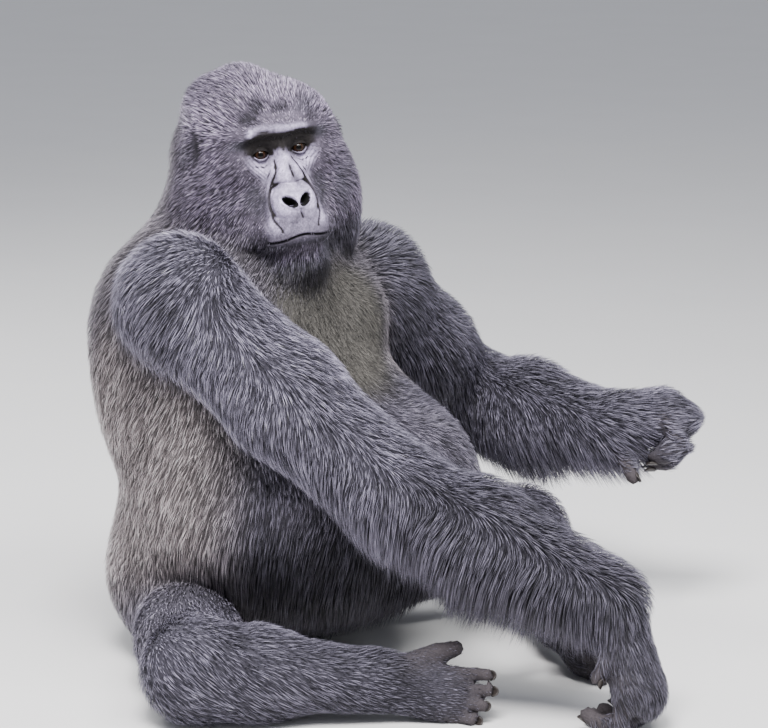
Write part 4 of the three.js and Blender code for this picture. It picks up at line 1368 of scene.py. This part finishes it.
def hair_density(p, n, share):
    """Tufts wanted on a square centimetre: hardly any on the face, in the nostrils, before the ears, at
    the fingers' tips and on the palms."""
    density = per_part(PER_CM2) @ share
    from_rim = 0.02 + 0.55 * ramp(beyond_face(p), -1.8, -0.2) + 0.43 * ramp(beyond_face(p), 0.5, 3.0)
    density = density * np.maximum(from_rim, 0.5 * in_hollow(p))
    q = in_head(p) / CM
    density = density * (1 - (1 - ramp(nostrils(q[:, [0, 2]]), 1.2, 1.7)) * (q[:, 1] > 5))
    density = density * (1 - 0.98 * ear_gap(p, 1.2))
    density = density * (1 + 0.5 * bare_chest(p))
    to_tip = np.sqrt(((p[:, None] - finger_tips) ** 2).sum(2)).min(1)
    hand = of_part(share, "hand_right", "hand_left", "fingers_right", "fingers_left")
    density = density * (1 - hand * (1 - ramp(to_tip, 0.013, 0.026)))
    for side in SIDES:
        palm = of_part(share, f"hand_{side}", f"fingers_{side}")
        density = density * (1 - 0.97 * palm * ramp(n @ PALM_WAY[side] / 1.1, 0.35, 0.8))
    return density

# %% [markdown]
# ## Tufts
# One tuft stands for a lock of a few dozen hairs. It is a thin closed spike with three sides, ten
# triangles in all: a ridge along its top catches the light as a lock does. Its root sits in the skin,
# it rises at the angle that brings its tip to the top of the coat, and then lies over. Hair curves
# would look as fine, but they vanish when a model is handed on, and solid tufts stay.

# %% Scatter roots over the skin and grow tufts
TUFTS = 148000
SHEET_COLUMNS, SHEET_ROWS, PATCH = 5, 4, 0.003     # squares of the unwrap's sheet, and a tuft's patch


def scattered(vertices, faces, density, count, seed):
    """Roots spread over the faces in proportion to area times density. Evenly spaced steps through the
    running total of the faces keep the roots apart; inside a face the place is random. Returns the
    roots and how many tufts the densities ask for."""
    a, b, c = (vertices[faces[:, i]] for i in range(3))
    area = np.sqrt((np.cross(b - a, c - a) ** 2).sum(1)) / 2
    weight = area * density
    total = np.cumsum(weight)
    generator = np.random.default_rng(seed)
    steps = (np.arange(count) + generator.uniform(0, 1, count)) * total[-1] / count
    chosen = np.minimum(np.searchsorted(total, steps), len(faces) - 1)
    s, t = np.sqrt(generator.uniform(0, 1, count)), generator.uniform(0, 1, count)
    return (a[chosen] * (1 - s)[:, None] + b[chosen] * (s * (1 - t))[:, None]
            + c[chosen] * (s * t)[:, None]), float(total[-1] * 1e4)


def part_axis(name):
    """The line that a part is unwrapped round."""
    side = name.rsplit("_", 1)[-1]
    ends = {"head": (on_head(0, 0, -22), on_head(0, 0, 15)), "ears": (on_head(0, 0, -4), on_head(0, 0, 4)),
            "trunk": (at(0, 12, -2), at(0, 12, 84))}
    if name in ends:
        return ends[name]
    a, b = {"upper_arm": (SHOULDER, ELBOW), "forearm": (ELBOW, WRIST), "hand": (WRIST, KNUCKLE),
            "fingers": (WRIST, KNUCKLE), "thigh": (HIP, KNEE), "shin": (KNEE, ANKLE)}.get(
                name.rsplit("_", 1)[0], (KNEE, ANKLE))
    return a[side] - 0.3 * (b[side] - a[side]), b[side] + 0.3 * (b[side] - a[side])


def unwrapped(p, part):
    """Each root's place on a flat sheet of the skin: the angle round its part's axis and the way along
    it, inside the part's own square of the sheet."""
    uv = np.zeros((len(p), 2))
    for i, name in enumerate(PARTS):
        mine = part == i
        a, b = part_axis(name)
        axis = unit(b - a)
        first = unit(np.cross(axis, (0.3, 0.2, 0.9)))
        second = np.cross(axis, first)
        d = p[mine] - a
        u = np.arctan2(d @ second, d @ first) / (2 * math.pi) + 0.5
        v = np.clip(d @ axis / np.linalg.norm(b - a), 0, 1)
        uv[mine, 0] = (i % SHEET_COLUMNS + 0.03 + 0.93 * u) / SHEET_COLUMNS
        uv[mine, 1] = (i // SHEET_COLUMNS + 0.03 + 0.93 * v) / SHEET_ROWS
    return uv


def tuft_spikes(root, n, way_along, length, width, rise, droop):
    """Seven vertices a tuft: two rings of three and a tip. The centre line starts at the root, climbs at
    the rise angle and ends flat or, where droop is given, hanging."""
    first = towards(way_along * np.cos(rise)[:, None] + n * np.sin(rise)[:, None] + droop * 0.5)
    second = towards(way_along * np.cos(rise * 0.35)[:, None] + n * np.sin(rise * 0.35)[:, None] + droop)
    side = towards(np.cross(way_along, n))
    base = root - n * np.minimum(0.0015, 0.05 * length)[:, None]
    middle = base + first * (length * 0.5)[:, None]
    tip = middle + second * (length * 0.5)[:, None]
    half, ridge = side * (width / 2)[:, None], n * (width * 0.45)[:, None]
    return np.stack([base - half, base + half, base + ridge, middle - half * 0.8, middle + half * 0.8,
                     middle + ridge * 0.8, tip], 1)


SPIKE_CORNERS = np.array([0, 3, 4, 1, 1, 4, 5, 2, 2, 5, 3, 0, 3, 6, 4, 4, 6, 5, 5, 6, 3, 0, 1, 2])
SPIKE_SIZES = np.array([4, 4, 4, 3, 3, 3, 3])
SPIKE_SHEET = np.array([(0, 0), (0.5, 0), (1, 0), (0, 0.5), (0.5, 0.5), (1, 0.5), (0.5, 1)])


def coat_piece(name, spikes, colours, uv, finish):
    """Many tufts as one mesh, put in as whole arrays: vertices, corners, face starts, colours, and the
    patch of each tuft on the sheet."""
    count = len(spikes)
    mesh = bpy.data.meshes.new(name)
    mesh.vertices.add(count * 7)
    mesh.vertices.foreach_set("co", spikes.astype(np.float32).ravel())
    corners = (np.arange(count)[:, None] * 7 + SPIKE_CORNERS).ravel()
    mesh.loops.add(len(corners))
    mesh.loops.foreach_set("vertex_index", corners.astype(np.int32))
    sizes = np.tile(SPIKE_SIZES, count)
    mesh.polygons.add(len(sizes))
    mesh.polygons.foreach_set("loop_start", np.concatenate([[0], np.cumsum(sizes)[:-1]]).astype(np.int32))
    mesh.polygons.foreach_set("use_smooth", np.ones(len(sizes), bool))
    mesh.update(calc_edges=True)
    layer = mesh.attributes.new("hair_colour", "FLOAT_COLOR", "POINT")
    layer.data.foreach_set("color", np.concatenate([colours, np.ones(colours.shape[:2] + (1,))], 2)
                           .astype(np.float32).ravel())
    sheet = mesh.uv_layers.new(name="OFBake")
    patch = uv[:, None, :] + PATCH * (SPIKE_SHEET - 0.5)
    sheet.data.foreach_set("uv", patch.reshape(-1, 2)[corners].astype(np.float32).ravel())
    mesh.materials.append(finish)
    piece = bpy.data.objects.new(name, mesh)
    bpy.context.scene.collection.objects.link(piece)
    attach(piece, "root")
    return piece


fans = [(rim[0], rim[i], rim[i + 1]) for rim in rims for i in range(1, len(rim) - 1)]
triangles = np.concatenate([net_faces[:, :3], net_faces[:, [0, 2, 3]], np.array(fans)])
middles = net[triangles].mean(1)
middle_share = nearness(part_distances(middles))
density = hair_density(middles, slope(skin_distance, middles), middle_share)
roots, weighed = scattered(net, triangles, density, TUFTS, 41)
print("tufts:", TUFTS, "on", round(weighed), "weighed tufts asked for")

# %% Grow them
LEAST_RISE, MOST_RISE = 0.15, 0.95                 # radians off the skin
THIN, THICK = 0.0006, 0.0015                       # metres across a tuft
LONG_HAIR, LONG_WISP, SHORT_WISP = 0.02, 0.0075, 0.0048            # metres
PULL, BEND = 0.45, 0.35                            # how far tips are drawn to their wisp, and the middles
LOWEST = 0.0015                                    # metres over the floor


def gathered(p, size, seed):
    """Hair ends meet in wisps. Space is cut in cubes and each cube has one meeting point at a random
    place. Returns the way to the meeting point of a place's own cube, and a random number of it."""
    table = np.random.default_rng(seed).uniform(0, 1, (32, 32, 32, 4))
    cell = np.floor(p / size).astype(int)
    chosen = table[tuple((cell % 32).T)]
    return (cell + 0.15 + 0.7 * chosen[:, :3]) * size - p, chosen[:, 3]


share = nearness(part_distances(roots))
normals = slope(skin_distance, roots)
flow = lie(roots, normals, nearness(part_distances(roots), 0.03))
length = hair_length(roots, normals, share) * CM
generator = np.random.default_rng(43)
length *= generator.uniform(0.72, 1.18, len(roots))
depth = coat_depth(roots, part_distances(roots))
rise = np.arcsin(np.clip(1.12 * depth / length, 0.05, 0.75)) + generator.normal(0, 0.09, len(roots))
rise = np.clip(rise, LEAST_RISE, MOST_RISE)
hang = hanging(roots, normals, share)
beard = of_part(share, "head") * ramp(-in_head(roots)[:, 2] / CM, 10, 16)
droop = np.array((0, 0, -1.0)) * (1.5 * hang + 0.35 * beard)[:, None]
width = np.clip(0.0008 + 0.018 * length, THIN, THICK) * generator.uniform(0.75, 1.25, len(roots))
spikes = tuft_spikes(roots, normals, flow, length, width, rise, droop)
to_wisp, wisp = gathered(roots + flow * 0.006 * generator.normal(0, 1, (len(roots), 1)),
                         np.where(length > LONG_HAIR, LONG_WISP, SHORT_WISP)[:, None], 44)
to_wisp -= (to_wisp * normals).sum(1, keepdims=True) * normals
pull = PULL * np.clip(length / LONG_HAIR, 0, 1)[:, None]
spikes[:, 6] += to_wisp * pull
spikes[:, 3:6] += (to_wisp * pull * BEND)[:, None]
spikes[:, :, 2] = np.maximum(spikes[:, :, 2], LOWEST)
tone = 1 + 1.5 * (wisp - 0.5) + generator.normal(0, 0.38, len(roots))
# painted shade: the hair in the hollow under the brow is painted near black
hollow_shade = 1 - 0.95 * ramp(in_hollow(roots), 0.03, 0.35)
tone = coat_colour(roots, share) * (np.maximum(0.25, tone) * hollow_shade)[:, None]
# the roots are painted dark as shade deep in the coat; the pale tips are partly weathering and partly painted
# highlight
tip_wear_and_sheen = 1.5 + 1.4 * generator.uniform(0, 1, len(roots)) ** 2
along = np.stack([np.full(len(roots), 0.2)] * 3 + [np.full(len(roots), 0.95)] * 3 + [tip_wear_and_sheen], 1)
colours = np.clip(tone[:, None, :] * along[:, :, None], 0.004, 1)
part = share.argmax(0)
uv = unwrapped(roots, part)
print("longest tuft", round(float(length.max() * 100), 1), "cm, widest",
      round(float(width.max() * 1000), 1), "mm")

# %% [markdown]
# ## The hair's finish
# A hair is smooth along its length, so a coat shines in streaks. The colour, cool and slightly
# violet, comes with each tuft: dark at the root, as painted shade deep in the coat, and pale at the tip,
# partly from weathering and partly as painted highlight. A fine noise breaks it up.

# %% Hair, and the coat's pieces
hair = Recipe("slate_black_hair")
speckle = hair.noise(700.0, 2.0)
hair_finish = hair.finish(Base_Color=hair.times(hair.attribute("hair_colour"), 0.75 + 0.5 * speckle),
                          Roughness=0.36 + 0.16 * speckle, Specular_IOR_Level=0.4)
MOST_TUFTS, TUFT_FACES = 19500, 10                 # in one piece; triangles in one tuft
GROUPS = {"head": ("head", "ears"), "trunk": ("trunk",), "right_upper_arm": ("upper_arm_right",),
          "left_upper_arm": ("upper_arm_left",),
          "right_forearm": ("forearm_right", "hand_right", "fingers_right"),
          "left_forearm": ("forearm_left", "hand_left", "fingers_left"),
          "right_leg": ("thigh_right", "shin_right", "foot_right", "toes_right"),
          "left_leg": ("thigh_left", "shin_left", "foot_left", "toes_left")}
for group, names in GROUPS.items():
    mine = np.nonzero(np.isin(part, [PARTS.index(name) for name in names]))[0]
    if group == "trunk":
        height = roots[mine, 2] + 0.5 * roots[mine, 1]
        mine = mine[np.argsort(height, kind="stable")]
    lots = np.array_split(mine, 1 + len(mine) // MOST_TUFTS)
    for i, lot in enumerate(lots):
        name = f"coat_{group}" + (f"_{i + 1}" if len(lots) > 1 else "")
        coat_piece(name, spikes[lot], colours[lot], uv[lot], hair_finish)
        print(name, len(lot), "tufts,", len(lot) * TUFT_FACES, "triangles")

# %% [markdown]
# ## Floor, light and camera
# The model sits on a plain pale floor that reaches further than any camera sees. One large soft
# light comes from above the camera's left shoulder, a weaker one fills from the right, and one from
# behind picks out the hair on the rim. A wide, narrow strip high in front puts a catch light in both
# eyes.
# The camera looks from the animal's right front.

# %% Floor
AZIMUTH, ELEVATION, AWAY = -50.0, 12.0, 5.2        # the camera's degrees and metres
FLOOR_REACH, FLOOR_LINES = 45, 41                  # metres to each side
back_way = np.array((math.sin(math.radians(AZIMUTH)) * math.cos(math.radians(ELEVATION)),
                     -math.cos(math.radians(AZIMUTH)) * math.cos(math.radians(ELEVATION)),
                     math.sin(math.radians(ELEVATION))))
target = at(12.5, 30.4, 50.0)
level_way = unit((back_way[0], back_way[1], 0))
side_way = np.cross((0, 0, 1), level_way)
steps = np.linspace(-FLOOR_REACH, FLOOR_REACH, FLOOR_LINES)
floor_points = (steps[:, None, None] * level_way + steps[None, :, None] * side_way
                + np.array((target[0], target[1], 0)))
floor_faces = squares(FLOOR_LINES, FLOOR_LINES)
paper = Recipe("pale_studio_paper")
paper_tone = paper.tint((0.78, 0.775, 0.76, 1), paper.noise(3.0), (0.82, 0.815, 0.80, 1))
paper_finish = paper.finish(Base_Color=paper_tone, Roughness=0.9)
floor_mesh = bpy.data.meshes.new("floor")
floor_mesh.from_pydata(floor_points.reshape(-1, 3).tolist(), [], floor_faces.tolist())
floor_mesh.polygons.foreach_set("use_smooth", np.ones(len(floor_faces), bool))
floor_mesh.materials.append(paper_finish)
floor = bpy.data.objects.new("floor", floor_mesh)
bpy.context.scene.collection.objects.link(floor)
print("floor reaches", round(float(np.ptp(steps)), 1), "m")

# %% Lights


def soft_light(name, left, front, up, size, watts, colour):
    """A lamp of a width and a height at a place in centimetres, turned to the animal's middle."""
    lamp = bpy.data.lights.new(name, "AREA")
    lamp.shape, (lamp.size, lamp.size_y), lamp.energy, lamp.color = "RECTANGLE", size, watts, colour
    holder = bpy.data.objects.new(name, lamp)
    place = mathutils.Vector(at(left, front, up))
    holder.location = place
    holder.rotation_euler = (mathutils.Vector(target) - place).to_track_quat("-Z", "Y").to_euler()
    bpy.context.scene.collection.objects.link(holder)


soft_light("key_light", -160, 130, 370, (1.5, 1.5), 300, (1.0, 0.98, 1.0))
soft_light("fill_light", 240, 260, 170, (2.4, 2.4), 15, (0.93, 0.95, 1.0))
soft_light("rim_light", 40, -260, 300, (1.8, 1.8), 80, (1.0, 1.0, 1.0))
soft_light("eye_light", -28, 254, 340, (2.4, 0.6), 105, (1.0, 1.0, 1.0))
world = bpy.data.worlds.new("studio")
world.use_nodes = True
world.node_tree.nodes["Background"].inputs["Color"].default_value = (0.86, 0.89, 1.0, 1)
world.node_tree.nodes["Background"].inputs["Strength"].default_value = 0.55
bpy.context.scene.world = world

# %% Camera
lens = bpy.data.cameras.new("camera")
FILM_WIDTH = 36.0                                  # millimetres
FOCUS, FRAME_WIDTH = 3058.8, 768                   # focal length and frame, both in the frame's own units
lens.sensor_width, lens.lens = FILM_WIDTH, FILM_WIDTH * FOCUS / FRAME_WIDTH
camera = bpy.data.objects.new("camera", lens)
camera.location = target + back_way * AWAY
camera.rotation_euler = (-mathutils.Vector(back_way)).to_track_quat("-Z", "Y").to_euler()
lens.clip_start, lens.clip_end = 0.1, 100
bpy.context.scene.collection.objects.link(camera)
bpy.context.scene.camera = camera
print("camera at", [round(v, 2) for v in camera.location], "lens", round(lens.lens, 1), "mm")
